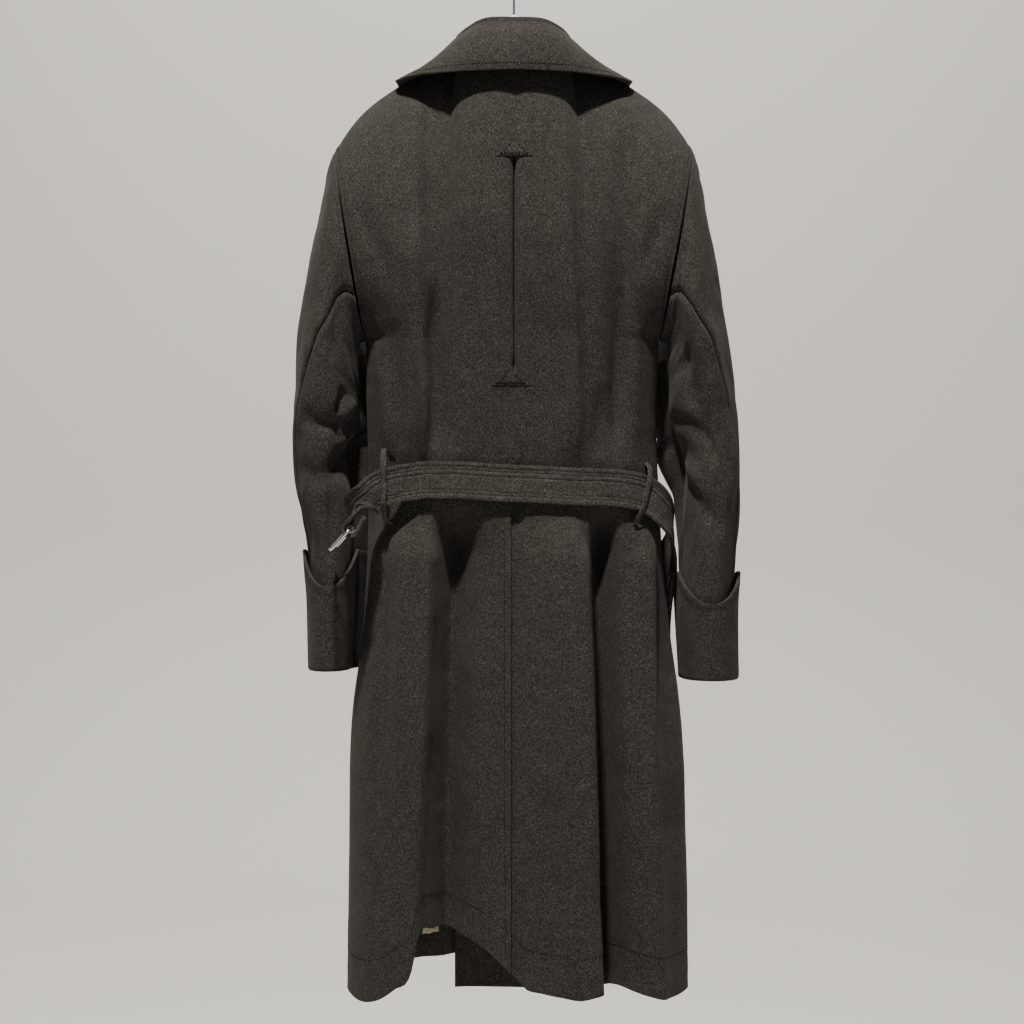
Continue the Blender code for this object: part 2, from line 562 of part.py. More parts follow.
def share_normals(pieces):
    """Give the points that several pieces share one common direction, so seam edges match."""
    sums = {}
    for piece in pieces.values():
        for key, normal in zip(point_keys(piece["points"]), piece["normals"].reshape(-1, 3)):
            sums[key] = sums.get(key, 0.0) + normal
    for piece in pieces.values():
        keys = point_keys(piece["points"])
        mixed = np.array([sums[key] for key in keys])
        mixed = mixed / np.linalg.norm(mixed, axis=-1, keepdims=True)
        piece["normals"] = mixed.reshape(piece["points"].shape)


def point_keys(points):
    """Places rounded to a tenth of a millimetre, for finding shared points."""
    return [tuple(key) for key in np.round(points.reshape(-1, 3) * 1e4).astype(int)]


def pull_seams(points, normals, seams):
    """Move each seam edge back into its piece by half the seam gap, along the cloth."""
    pulled = points.copy()
    edges = {"first_row": (np.s_[0, :], np.s_[1, :]), "last_row": (np.s_[-1, :], np.s_[-2, :]),
             "first_column": (np.s_[:, 0], np.s_[:, 1]), "last_column": (np.s_[:, -1], np.s_[:, -2])}
    for seam in seams:
        edge, beside = edges[seam]
        tangent = np.gradient(points[edge], axis=0)
        inward = np.cross(normals[edge], tangent)
        inward = inward / np.maximum(np.linalg.norm(inward, axis=-1, keepdims=True), 1e-12)
        facing = np.sign(np.sum(inward * (points[beside] - points[edge]), axis=-1, keepdims=True))
        pulled[edge] += inward * facing * SEAM_PULL
    return pulled


def make_material(name, colour, roughness, metallic=0.0):
    """A material with the piece's own colour and finish, made once."""
    material = bpy.data.materials.get(name)
    if material is None:
        material = bpy.data.materials.new(name)
        material.use_nodes = True
        shader = material.node_tree.nodes["Principled BSDF"]
        shader.inputs["Base Color"].default_value = (*colour, 1.0)
        shader.inputs["Roughness"].default_value = roughness
        shader.inputs["Metallic"].default_value = metallic
    return material


def wool():
    """Charcoal-brown heather wool cloth."""
    return make_material("heather_wool", (0.042, 0.036, 0.031), 0.92)


def add_object(name, vertices, faces, material, collection):
    """A named object from its points and faces, shaded smooth, its faces turned outward."""
    mesh = bpy.data.meshes.new(name)
    mesh.from_pydata([tuple(v) for v in vertices], [], faces)
    work = bmesh.new()
    work.from_mesh(mesh)
    bmesh.ops.recalc_face_normals(work, faces=work.faces)
    work.to_mesh(mesh)
    work.free()
    mesh.shade_smooth()
    mesh.set_sharp_from_angle(angle=math.radians(40))
    mesh.materials.append(material)
    item = bpy.data.objects.new(name, mesh)
    collection.objects.link(item)
    return item


def add_wall(name, points, normals, thickness, material, collection, wraps=False):
    """A closed cloth wall: the outer grid, the same grid moved inward, and rims between them."""
    rows, columns = points.shape[:2]
    inner = points - normals * thickness
    vertices = np.concatenate([points.reshape(-1, 3), inner.reshape(-1, 3)])
    below = rows * columns
    last = columns if wraps else columns - 1
    faces = []
    for r in range(rows - 1):
        for c in range(last):
            d = (c + 1) % columns
            quad = (r * columns + c, r * columns + d, (r + 1) * columns + d, (r + 1) * columns + c)
            faces.append(quad)
            faces.append(tuple(below + i for i in reversed(quad)))
    rim = [(0, c, 0, (c + 1) % columns) for c in range(last)]
    rim += [(rows - 1, (c + 1) % columns, rows - 1, c) for c in range(last)]
    if not wraps:
        rim += [(r + 1, 0, r, 0) for r in range(rows - 1)]
        rim += [(r, columns - 1, r + 1, columns - 1) for r in range(rows - 1)]
    for r1, c1, r2, c2 in rim:
        a = r1 * columns + c1
        b = r2 * columns + c2
        faces.append((b, a, below + a, below + b))
    return add_object(name, vertices, faces, material, collection)


def collar_grid():
    """The collar from its neck seam up the stand, over the roll and down the fall.

    Columns run from the left end round the back to the right end. Rows are the neck seam,
    the stand, a half turn of the roll radius, and the fall, which bellies out at the back
    and hollows at the sides.
    """
    turn = np.linspace(-1.0, 1.0, COLLAR_COLUMNS + 1)
    side = np.where(turn < 0, -1.0, 1.0)
    knots = np.linspace(0.0, 1.0, len(COLLAR))
    roll = hermite(np.abs(turn), knots, [(s.roll_x, s.roll_y, s.roll_z) for s in COLLAR])
    edge = hermite(np.abs(turn), knots, [(s.edge_x, s.edge_y, s.edge_z) for s in COLLAR])
    roll[:, 0] *= side
    edge[:, 0] *= side
    belly = hermite(np.abs(turn), knots, [s.belly for s in COLLAR])[:, None]
    seam = neckline(turn * np.pi * COLLAR_SEAM_REACH)
    seam[:, 2] += COLLAR_SEAM_RISE
    out = edge - roll
    out[:, 2] = 0.0
    out = out / np.linalg.norm(out, axis=-1, keepdims=True)
    up = np.array([0.0, 0.0, 1.0])
    inside = roll - out * COLLAR_ROLL_RADIUS
    outside = roll + out * COLLAR_ROLL_RADIUS
    rows = [seam + (inside - seam) * share for share in COLLAR_STAND_SHARES]
    for share in COLLAR_ROLL_SHARES:
        rise = math.sin(math.pi * share) * COLLAR_ROLL_RADIUS
        rows.append(roll - out * COLLAR_ROLL_RADIUS * math.cos(math.pi * share) + up * rise
                    - up * COLLAR_ROLL_RADIUS)
    start = outside - up * COLLAR_ROLL_RADIUS
    for step in range(1, COLLAR_FALL_ROWS + 1):
        share = step / COLLAR_FALL_ROWS
        rows.append(start + (edge - start) * share + (out + up) * belly * math.sin(math.pi * share))
    return np.array(rows)


def add_collar(collection):
    """The collar as two sewn pieces, its stand and its turned-over fall."""
    points = collar_grid()
    normals = -grid_normals(points)
    stand_rows = len(COLLAR_STAND_SHARES)
    stand = pull_seams(points[:stand_rows], normals[:stand_rows], ["last_row"])
    fall = pull_seams(points[stand_rows - 1:], normals[stand_rows - 1:], ["first_row"])
    add_wall("collar_stand", stand, normals[:stand_rows], CLOTH, wool(), collection)
    add_wall("collar_fall", fall, normals[stand_rows - 1:], CLOTH, wool(), collection)


def add_sleeves_and_body(collection):
    """Backs, fronts and two-piece sleeves, with one common direction where they meet."""
    pieces = {}
    for word, side, rings in (("left", -1, LEFT_SLEEVE), ("right", 1, RIGHT_SLEEVE)):
        back = back_panel(side)
        front = front_panel(side)
        sleeve = sleeve_points(rings, side, SLEEVE_PLACES)
        normals = -side * grid_normals(sleeve, wraps=True)
        top = np.arange(TOP_SLEEVE_FROM, TOP_SLEEVE_TO + 1)
        under = np.arange(TOP_SLEEVE_TO, TOP_SLEEVE_FROM + SLEEVE_SIDES + 1) % SLEEVE_SIDES
        pieces["back_" + word] = {"points": back, "normals": side * grid_normals(back),
                                  "seams": ["first_column", "last_column", "last_row"]}
        pieces["front_" + word] = {"points": front, "normals": -side * grid_normals(front),
                                   "seams": ["last_column", "last_row"]}
        pieces["sleeve_top_" + word] = {"points": sleeve[:, top], "normals": normals[:, top],
                                        "seams": ["first_row", "first_column", "last_column"]}
        pieces["sleeve_under_" + word] = {"points": sleeve[:, under], "normals": normals[:, under],
                                          "seams": ["first_row", "first_column", "last_column"]}
    share_normals(pieces)
    for name, piece in pieces.items():
        points = pull_seams(piece["points"], piece["normals"], piece["seams"])
        add_wall(name, points, piece["normals"], CLOTH, wool(), collection)
    return pieces


def add_cuffs(collection):
    """Deep turned-back cuffs: a wall just outside each sleeve's end, turned in under it."""
    for cuff in CUFFS:
        knots = np.linspace(0.0, 1.0, len(cuff.rings))
        phi = np.linspace(0.0, 2.0 * np.pi, SLEEVE_SIDES, endpoint=False)
        dip = np.where(np.sin(phi) > 0, cuff.back_dip, cuff.front_dip) * np.abs(np.sin(phi)) ** CUFF_DIP_POWER
        rows = []
        for step in range(CUFF_ROWS + 1):
            share = step / CUFF_ROWS
            z = cuff.z_low + (cuff.z_rim - dip - cuff.z_low) * share
            place = np.array([np.interp(-level, [-r.outer_z for r in cuff.rings], knots) for level in z])
            rings = sleeve_points(cuff.rings, cuff.side, place)
            ring = rings[np.arange(SLEEVE_SIDES), np.arange(SLEEVE_SIDES)]
            ring[:, 2] = z
            rows.append(ring)
        grid = np.array(rows)
        flat = cuff.side * grid_normals(grid, wraps=True)
        flat[..., 2] = 0.0
        flat = flat / np.linalg.norm(flat, axis=-1, keepdims=True)
        swell = DOUBLE_CLOTH + CUFF_GAP
        lean = np.linspace(0.0, cuff.flare, CUFF_ROWS + 1)[:, None, None]
        grid = grid + flat * (swell + lean)
        turned = grid[:1] - flat[:1] * (DOUBLE_CLOTH + CLOTH)
        turned[..., 2] -= CUFF_EDGE_DROP
        corner = grid[:1] - flat[:1] * CUFF_EDGE_ROUND
        corner[..., 2] -= CUFF_EDGE_DROP
        grid = np.concatenate([turned, corner, grid + np.array([0.0, 0.0, CUFF_LIFT])])
        normals = cuff.side * grid_normals(grid, wraps=True)
        add_wall(cuff.name, grid, normals, DOUBLE_CLOTH, wool(), collection, wraps=True)


def on_panel(grid, x, z):
    """Depth y of a back or front panel's outer face at places (x, z) on it.

    Each row of the grid is read at x, and then the rows are read at z.
    """
    x = np.asarray(x, float)
    z = np.asarray(z, float)
    result = np.zeros(x.shape)
    order = 1 if grid[0, -1, 0] > grid[0, 0, 0] else -1
    for index in np.ndindex(x.shape):
        y_rows = [np.interp(x[index], row[::order, 0], row[::order, 1]) for row in grid]
        z_rows = [np.interp(x[index], row[::order, 0], row[::order, 2]) for row in grid]
        result[index] = np.interp(z[index], z_rows, y_rows)
    return result


def add_pleat_tacks(pieces, collection):
    """The flat triangles of cloth sewn over both ends of the pleat."""
    for tack in PLEAT_TACKS:
        down = np.linspace(0.0, 1.0, TACK_ROWS + 1)[:, None]
        across = np.linspace(-1.0, 1.0, TACK_COLUMNS + 1)[None, :]
        half = tack.half_width * np.maximum(down, TACK_APEX_SHARE)
        x = tack.x + half * across
        z = tack.apex_z + (tack.base_z - tack.apex_z) * down + 0.0 * across
        left = on_panel(pieces["back_left"]["points"], np.minimum(x, -TACK_SEAT_X), z)
        right = on_panel(pieces["back_right"]["points"], np.maximum(x, TACK_SEAT_X), z)
        y = np.minimum(left, right) - TACK_THICK - TACK_CLEAR
        points = np.stack([x, y, z], axis=-1)
        normals = np.zeros_like(points)
        normals[..., 1] = -1.0
        add_wall(tack.name, points, normals, TACK_THICK, wool(), collection)


def unit(vectors):
    """The same directions with a length of one."""
    return vectors / np.linalg.norm(vectors, axis=-1, keepdims=True)


def strip_wall(name, path, side, width, thickness, material, collection, columns=3, narrow=None):
    """A flat strap along a path; side is the way its width lies, squared to the path."""
    along = unit(np.gradient(path, axis=0))
    side = unit(side - np.sum(side * along, axis=-1, keepdims=True) * along)
    normal = np.cross(along, side)
    share = np.linspace(-0.5, 0.5, columns + 1)[None, :, None]
    scale = np.ones(len(path)) if narrow is None else narrow
    points = path[:, None, :] + side[:, None, :] * share * width * scale[:, None, None]
    normals = np.repeat(normal[:, None, :], columns + 1, axis=1)
    return add_wall(name, points, normals, thickness, material, collection)


def even_path(points, count):
    """Evenly spaced points of a smooth curve through a few given ones."""
    points = np.asarray(points, float)
    chord = np.concatenate([[0.0], np.cumsum(np.linalg.norm(np.diff(points, axis=0), axis=1))])
    fine = hermite(np.linspace(0.0, chord[-1], 12 * count), chord, points)
    length = np.concatenate([[0.0], np.cumsum(np.linalg.norm(np.diff(fine, axis=0), axis=1))])
    even = np.linspace(0.0, length[-1], count + 1)
    return np.stack([np.interp(even, length, fine[:, axis]) for axis in range(3)], axis=-1)


def belt_on_coat(angle, z, lift):
    """Outer face of the belt's middle line on the coat, and the coat's outward direction.

    The belt stands on whichever of its top, middle and bottom lines the coat pushes out most.
    """
    before = body_point(angle - 0.03, z)
    after = body_point(angle + 0.03, z)
    tangent = after - before
    outward = np.stack([tangent[:, 1], -tangent[:, 0], np.zeros(len(angle))], axis=-1)
    outward = outward / np.linalg.norm(outward, axis=-1, keepdims=True)
    middle = body_point(angle, z)
    reach = np.zeros(len(angle))
    for offset in (-0.5, -0.25, 0.25, 0.5):
        edge = body_point(angle, z + offset * BELT_WIDTH)
        reach = np.maximum(reach, np.sum((edge - middle) * outward, axis=-1))
    return middle + outward * (reach + lift + BELT_THICK)[:, None], outward


def buckle_frame_axes():
    """Where the buckle points: down along its length, and out to its face."""
    down = np.array([-math.sin(BUCKLE_TILT), 0.0, -math.cos(BUCKLE_TILT)])
    out = np.array([-math.cos(BUCKLE_TILT), 0.0, math.sin(BUCKLE_TILT)])
    return np.array(BUCKLE_BAR), down, out


def add_belt(collection):
    """The loose belt, turned round the buckle's bar at one end and hanging at the other."""
    bar, down, out = buckle_frame_axes()
    turned = [bar - down * turn.back - out * turn.stand for turn in BELT_TURN_BACK]
    for step in range(BELT_END_STEPS + 1):
        swing = math.pi * step / BELT_END_STEPS
        direction = -out * math.cos(swing) + down * math.sin(swing)
        turned.append(bar + direction * BELT_END_ROUND)
    station = np.linspace(0.0, 1.0, BELT_STEPS + 1)
    knots = np.linspace(0.0, 1.0, len(BELT))
    angle = np.radians(hermite(station, knots, [row.angle for row in BELT]))
    z = hermite(station, knots, [row.z for row in BELT])
    lift = hermite(station, knots, [row.lift for row in BELT])
    worn, outward = belt_on_coat(angle, z, lift)
    start = turned[-1]
    sag = [(point.x, point.y, point.z) for point in BELT_SAG]
    free = even_path([start, start - down * BELT_END_DROP, *sag, worn[0]], BELT_FREE_STEPS)[1:-1]
    flat = np.array([0.0, 1.0, 0.0])
    upright = np.array([0.0, 0.0, 1.0])
    share = smoothstep(np.linspace(0.0, BELT_TWIST, len(free)))[:, None]
    path = np.concatenate([turned, free, worn])
    worn_side = np.cross(outward, np.gradient(worn, axis=0))
    side = np.concatenate([np.repeat(flat[None], len(turned), axis=0),
                           flat * (1.0 - share) + upright * share, worn_side])
    narrow = np.ones(len(path))
    narrow[-len(BELT_POINT):] = BELT_POINT
    belt = strip_wall("belt", path, side, BELT_WIDTH, BELT_THICK, wool(), collection, 3, narrow)
    slot = bpy.data.meshes.new("belt_slot_cutter")
    work = bmesh.new()
    bmesh.ops.create_cube(work, size=1.0)
    bmesh.ops.scale(work, vec=SLOT_CUTTER, verts=work.verts)
    work.to_mesh(slot)
    work.free()
    cutter = bpy.data.objects.new("belt_slot_cutter", slot)
    cutter.location = bar - down * SLOT_CUTTER_RISE
    cutter.rotation_euler = (0.0, BUCKLE_TILT, 0.0)
    cutter.hide_render = True
    cutter.display_type = "WIRE"
    cutters = bpy.data.collections.new("cutters")
    bpy.context.scene.collection.children.link(cutters)
    cutters.objects.link(cutter)
    cut = belt.modifiers.new("prong_slot", "BOOLEAN")
    cut.operation = "DIFFERENCE"
    cut.solver = "EXACT"
    cut.object = cutter


def add_belt_loops(collection):
    """Two narrow loops, standing off the coat, that the belt passes through."""
    for loop in BELT_LOOPS:
        angles = np.radians([p.angle for p in loop.points])
        z = np.array([p.z for p in loop.points])
        outward = belt_on_coat(angles, z, np.zeros(len(z)))[1]
        base = body_point(angles, z)
        proud = np.array([p.proud for p in loop.points])
        points = base + outward * proud[:, None]
        path = even_path(points, LOOP_STEPS)
        middle = outward[len(outward) // 2]
        side = np.repeat(np.cross([0.0, 0.0, 1.0], middle)[None], len(path), axis=0)
        strip_wall(loop.name, path, side, LOOP_WIDTH, LOOP_THICK, wool(), collection, 1)


def add_wire(name, points, radius, closed, material, collection, bevel_resolution=2):
    """A round wire along points, as a mesh with its caps welded."""
    curve = bpy.data.curves.new(name + "_path", "CURVE")
    curve.dimensions = "3D"
    spline = curve.splines.new("POLY")
    spline.points.add(len(points) - 1)
    for target, point in zip(spline.points, points):
        target.co = (*point, 1.0)
    spline.use_cyclic_u = closed
    curve.bevel_depth = radius
    curve.bevel_resolution = bevel_resolution
    curve.use_fill_caps = not closed
    guide = bpy.data.objects.new(name + "_path", curve)
    collection.objects.link(guide)
    bpy.context.view_layer.update()
    evaluated = guide.evaluated_get(bpy.context.evaluated_depsgraph_get())
    mesh = bpy.data.meshes.new_from_object(evaluated)
    mesh.name = name
    work = bmesh.new()
    work.from_mesh(mesh)
    bmesh.ops.remove_doubles(work, verts=work.verts, dist=0.00001)
    bmesh.ops.recalc_face_normals(work, faces=work.faces)
    work.to_mesh(mesh)
    work.free()
    mesh.shade_smooth()
    mesh.set_sharp_from_angle(angle=math.radians(50))
    mesh.materials.clear()
    mesh.materials.append(material)
    item = bpy.data.objects.new(name, mesh)
    collection.objects.link(item)
    bpy.data.objects.remove(guide, do_unlink=True)
    return item


def add_buckle(collection):
    """The buckle's rounded wire frame and its prong, both turning on the belt-end bar."""
    bar, down, out = buckle_frame_axes()
    metal = make_material("nickel_plate", (0.62, 0.61, 0.59), 0.28, 1.0)
    across = np.array([0.0, 1.0, 0.0])
    half = BUCKLE_WIDTH / 2 - BUCKLE_CORNER
    reach = BUCKLE_LENGTH - BUCKLE_CORNER
    frame = []
    for side_y, middle, first in ((1, BUCKLE_CORNER, 0), (1, reach, 90), (-1, reach, 180),
                                  (-1, BUCKLE_CORNER, 270)):
        for turn in BUCKLE_CORNER_TURNS:
            swing = math.radians(first + turn)
            y = side_y * half + BUCKLE_CORNER * math.sin(swing)
            d = middle - BUCKLE_CORNER * math.cos(swing)
            frame.append(bar + across * y + down * d)
    add_wire("buckle_frame", frame, BUCKLE_WIRE, True, metal, collection)
    eye = BUCKLE_WIRE + PRONG_WIRE + PRONG_CLEAR
    prong = []
    for turn in PRONG_EYE_TURNS:
        swing = math.radians(turn)
        prong.append(bar + out * eye * math.cos(swing) - down * eye * math.sin(swing))
    prong.append(bar + out * eye + down * (BUCKLE_LENGTH / 2))
    prong.append(bar + out * eye + down * (BUCKLE_LENGTH + BUCKLE_WIRE + PRONG_PAST_FRAME))
    add_wire("buckle_prong", prong, PRONG_WIRE, False, metal, collection)


def add_buttons(pieces, collection):
    """Two rows of plain buttons down the outer front, each on a short thread shank."""
    horn = make_material("dark_horn", (0.035, 0.025, 0.018), 0.35)
    for row_name, x in (("edge", BUTTON_X), ("inner", -BUTTON_X)):
        for number, z in enumerate(BUTTON_ROWS_Z, start=1):
            name = f"button_{row_name}_{number}"
            mesh = bpy.data.meshes.new(name)
            edges = [(i, i + 1) for i in range(len(BUTTON_PROFILE) - 1)]
            mesh.from_pydata([(p.radius, 0.0, p.height) for p in BUTTON_PROFILE], edges, [])
            mesh.materials.append(horn)
            item = bpy.data.objects.new(name, mesh)
            grid = pieces["front_left"]["points"]
            near = on_panel(grid, np.array([x - BUTTON_SHANK, x, x + BUTTON_SHANK]), np.full(3, z))
            item.location = (x, float(near.max()) + BUTTON_CLEAR, z)
            item.rotation_euler = (-math.pi / 2, 0.0, 0.0)
            turned = item.modifiers.new("turned", "SCREW")
            turned.steps = BUTTON_STEPS
            turned.render_steps = BUTTON_STEPS
            turned.use_merge_vertices = True
            turned.merge_threshold = 0.00005
            turned.use_smooth_shade = True
            collection.objects.link(item)


def add_hem_tape(pieces, collection):
    """The scrap of pale tape that hangs inside the raised part of the left back's hem."""
    x = np.linspace(HEM_TAPE_X - 0.5 * HEM_TAPE_WIDTH, HEM_TAPE_X + 0.5 * HEM_TAPE_WIDTH, 4)
    grid = pieces["back_left"]["points"]
    order = np.argsort(grid[0, :, 0])
    hem_y = np.interp(x, grid[0, order, 0], grid[0, order, 1])
    hem_z = np.interp(x, grid[0, order, 0], grid[0, order, 2])
    above = on_panel(grid, x, hem_z + HEM_TAPE_ABOVE)
    slope = (above - hem_y) / HEM_TAPE_ABOVE
    rows = []
    for rise in (-HEM_TAPE_BELOW, 0.0, HEM_TAPE_ABOVE):
        y = hem_y + slope * rise + CLOTH + HEM_TAPE_CLEAR
        rows.append(np.stack([x, y, hem_z + rise], axis=-1))
    points = np.array(rows)
    normals = np.zeros_like(points)
    normals[..., 1] = -1.0
    tape = make_material("pale_tape", (0.46, 0.44, 0.36), 0.85)
    add_wall("hem_tape", points, normals, HEM_TAPE_THICK, tape, collection)


def add_hanger(collection):
    """The plain white hanger inside the shoulders, and its wire hook."""
    white = make_material("white_plastic", (0.80, 0.80, 0.78), 0.4)
    steel = make_material("bright_steel", (0.60, 0.60, 0.60), 0.25, 1.0)
    right = [(p.x, p.z) for p in HANGER_EDGE]
    left = [(-x, z) for x, z in reversed(right) if x > 0]
    outline = right + left
    mesh = bpy.data.meshes.new("hanger_body")
    work = bmesh.new()
    face = work.faces.new([work.verts.new((x, HANGER_DEPTH / 2, z)) for x, z in outline])
    grown = bmesh.ops.extrude_face_region(work, geom=[face])
    moved = [item for item in grown["geom"] if isinstance(item, bmesh.types.BMVert)]
    bmesh.ops.translate(work, vec=(0.0, -HANGER_DEPTH, 0.0), verts=moved)
    bmesh.ops.recalc_face_normals(work, faces=work.faces)
    work.to_mesh(mesh)
    work.free()
    mesh.shade_smooth()
    mesh.materials.append(white)
    body = bpy.data.objects.new("hanger_body", mesh)
    collection.objects.link(body)
    rounded = body.modifiers.new("rounded", "BEVEL")
    rounded.width = HANGER_ROUND
    rounded.segments = 2
    rounded.limit_method = "ANGLE"
    rounded.angle_limit = math.radians(60)
    centre_z = HANGER_WIRE - HOOK_RADIUS
    hook = [(0.0, 0.0, HANGER_EDGE[0].z + SEAM_GAP)]
    hook += [(x, 0.0, z) for x, z in HOOK_STEM]
    for turn in HOOK_TURNS:
        swing = math.radians(turn)
        hook.append((HOOK_RADIUS * math.cos(swing), 0.0, centre_z + HOOK_RADIUS * math.sin(swing)))
    add_wire("hanger_hook", hook, HANGER_WIRE, False, steel, collection)


def clear_scene():
    """Remove whatever the scene holds."""
    for item in list(bpy.data.objects):
        bpy.data.objects.remove(item, do_unlink=True)


def main():
    """Build every piece of the coat and its hanger."""
    clear_scene()
    collection = bpy.data.collections.new("military_greatcoat")
    bpy.context.scene.collection.children.link(collection)
    pieces = add_sleeves_and_body(collection)
    add_collar(collection)
    add_cuffs(collection)
    add_pleat_tacks(pieces, collection)
    add_belt(collection)
    add_belt_loops(collection)
    add_buckle(collection)
    add_buttons(pieces, collection)
    add_hem_tape(pieces, collection)
    add_hanger(collection)


main()
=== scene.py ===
from collections import namedtuple

import bmesh
import bpy
import mathutils
import numpy as np
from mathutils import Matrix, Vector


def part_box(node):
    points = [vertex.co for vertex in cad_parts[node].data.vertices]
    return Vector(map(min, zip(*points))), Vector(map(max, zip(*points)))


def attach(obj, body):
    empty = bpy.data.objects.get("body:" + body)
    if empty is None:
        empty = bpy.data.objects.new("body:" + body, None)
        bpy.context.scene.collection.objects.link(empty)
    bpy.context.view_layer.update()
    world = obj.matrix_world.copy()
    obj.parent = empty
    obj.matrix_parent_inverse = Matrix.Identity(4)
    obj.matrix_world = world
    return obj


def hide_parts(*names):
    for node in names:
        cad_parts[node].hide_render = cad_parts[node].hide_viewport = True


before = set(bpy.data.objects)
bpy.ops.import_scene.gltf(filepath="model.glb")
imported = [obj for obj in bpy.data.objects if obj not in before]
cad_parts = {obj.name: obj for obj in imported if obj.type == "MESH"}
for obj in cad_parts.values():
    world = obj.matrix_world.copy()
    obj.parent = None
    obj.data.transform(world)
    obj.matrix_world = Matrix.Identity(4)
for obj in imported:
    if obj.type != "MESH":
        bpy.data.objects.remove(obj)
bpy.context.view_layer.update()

# Two back panels
# Heavy wool melton, milled and lightly raised, cut from nape to hem and sewn down the
# centre, where an inverted pleat is caught at both ends and the hem vent laps left over
# right. They hang free below the belt in deep pressed folds, and the hem is bare turned cloth.
CLOTH = 0.0025
LAYER_DROP = CLOTH + 0.0028
NECK_BACK_Z = -0.128
NECK_SIDE_Z = -0.138
NECK_FRONT_Z = -0.196
SHOULDER_TIP_Z = -0.258
UNDERARM_Z = -0.5
HEM_Z = -1.343
NECK_HALF_WIDTH = 0.071
NECK_BACK_DEPTH = 0.056
NECK_FRONT_DEPTH = 0.062
BLADE_DEPTH = 0.088
NAPE_DEPTH = 0.076
VENT_LAP = 0.004
VENT_UNDERLAP = 0.04
VENT_STEP_Z = -0.65
VENT_TOP_Z = -0.69
VENT_OPEN_Z = -0.73
PLEAT_TOP_Z = -0.268
PLEAT_LOW_Z = -0.551
PLEAT_EASE = 0.03
SQUARENESS = 0.8

Section = namedtuple("Section", "z left right back front")
SECTIONS = (
    Section(HEM_Z, 0.213, 0.222, 0.098, 0.092), Section(-1.16, 0.211, 0.22, 0.094, 0.088),
    Section(-0.98, 0.207, 0.213, 0.088, 0.083), Section(-0.86, 0.192, 0.198, 0.08, 0.077),
    Section(-0.76, 0.187, 0.189, 0.072, 0.07), Section(-0.69, 0.186, 0.185, 0.068, 0.067),
    Section(-0.6, 0.188, 0.182, 0.073, 0.07), Section(UNDERARM_Z, 0.19, 0.185, 0.08, 0.074),
)

# A fold's crest runs from (x_top, z_top) to (x_low, z_low); inner and outer are its widths
# towards the centre and the side seam, and lean tips its crest over, towards the side seam.
Fold = namedtuple("Fold", "x_top z_top x_low z_low inner outer height lean")
BACK_FOLDS = (
    Fold(-0.124, -0.712, -0.147, -1.5, 0.013, 0.048, 0.03, -0.026),
    Fold(-0.086, -0.704, -0.096, -1.5, 0.042, 0.012, -0.052, 0.0),
    Fold(0.064, -0.712, 0.086, -1.5, 0.046, 0.013, 0.023, 0.022),
    Fold(0.11, -0.704, 0.122, -1.5, 0.012, 0.016, -0.048, 0.0),
    Fold(0.158, -0.715, 0.172, -1.5, 0.016, 0.024, 0.016, 0.008),
    Fold(-0.108, -0.17, -0.096, -0.67, 0.022, 0.01, -0.01, 0.0),
    Fold(-0.124, -0.34, -0.117, -0.67, 0.008, 0.028, 0.01, -0.006),
    Fold(0.144, -0.21, 0.128, -0.67, 0.014, 0.014, -0.012, 0.0),
    Fold(0.068, -0.4, 0.078, -0.67, 0.02, 0.01, 0.008, 0.004),
)
FOLD_EASE = 0.07
LEAN_WIDTH = 0.7

HemPoint = namedtuple("HemPoint", "x lift")
BACK_HEM = (
    HemPoint(-0.213, 0.02), HemPoint(-0.199, 0.014), HemPoint(-0.175, 0.016),
    HemPoint(-0.149, 0.033), HemPoint(-0.128, 0.055), HemPoint(-0.118, 0.098),
    HemPoint(-0.1, 0.104), HemPoint(-0.07, 0.097), HemPoint(-0.03, 0.076),
    HemPoint(-0.018, 0.065), HemPoint(-0.001, 0.049), HemPoint(0.015, 0.033),
    HemPoint(0.033, 0.029), HemPoint(0.06, 0.025), HemPoint(0.084, 0.022),
    HemPoint(0.104, 0.027), HemPoint(0.127, 0.032), HemPoint(0.166, 0.022),
    HemPoint(0.2, 0.016), HemPoint(0.222, 0.02),
)
HEM_START_Z = -0.86
SIDE_HEM_LIFT = 0.02

SHOULDER_SHARES = (0.0, 0.45, 0.8, 1.0)
SHOULDER_X = (NECK_HALF_WIDTH, 0.15, 0.203, 0.23)
SHOULDER_Z = (NECK_SIDE_Z, -0.1755, -0.219, SHOULDER_TIP_Z)

BODY_ROWS = 190
ARM_ROWS = 64
SHOULDER_COLUMNS = 56
NECK_COLUMNS = 24
PLEAT_FLAT = np.array([0.0, 0.0012, 0.0026, 0.0042, 0.0062, 0.0086, 0.0115, 0.015])
PLEAT_X = np.array([0.0, 0.0001, 0.0002, 0.0005, 0.0013, 0.0034, 0.007, 0.0118])
PLEAT_DEPTH = np.array([0.02, 0.015, 0.01, 0.0055, 0.0023, 0.0007, 0.0001, 0.0])
VENT_X = np.linspace(-VENT_UNDERLAP, 0.016, len(PLEAT_FLAT))


def hermite(at, knots, values):
    """Smooth value at a place in a table: cubic pieces whose slopes are central differences."""
    knots = np.asarray(knots, float)
    values = np.asarray(values, float)
    at = np.clip(np.asarray(at, float), knots[0], knots[-1])
    slopes = np.gradient(values, knots, axis=0)
    low = np.clip(np.searchsorted(knots, at, side="right") - 1, 0, len(knots) - 2)
    span = knots[low + 1] - knots[low]
    t = (at - knots[low]) / span
    if values.ndim > 1:
        t = t[..., None]
        span = span[..., None]
    return ((2 * t ** 3 - 3 * t ** 2 + 1) * values[low] + (t ** 3 - 2 * t ** 2 + t) * span * slopes[low]
            + (3 * t ** 2 - 2 * t ** 3) * values[low + 1] + (t ** 3 - t ** 2) * span * slopes[low + 1])


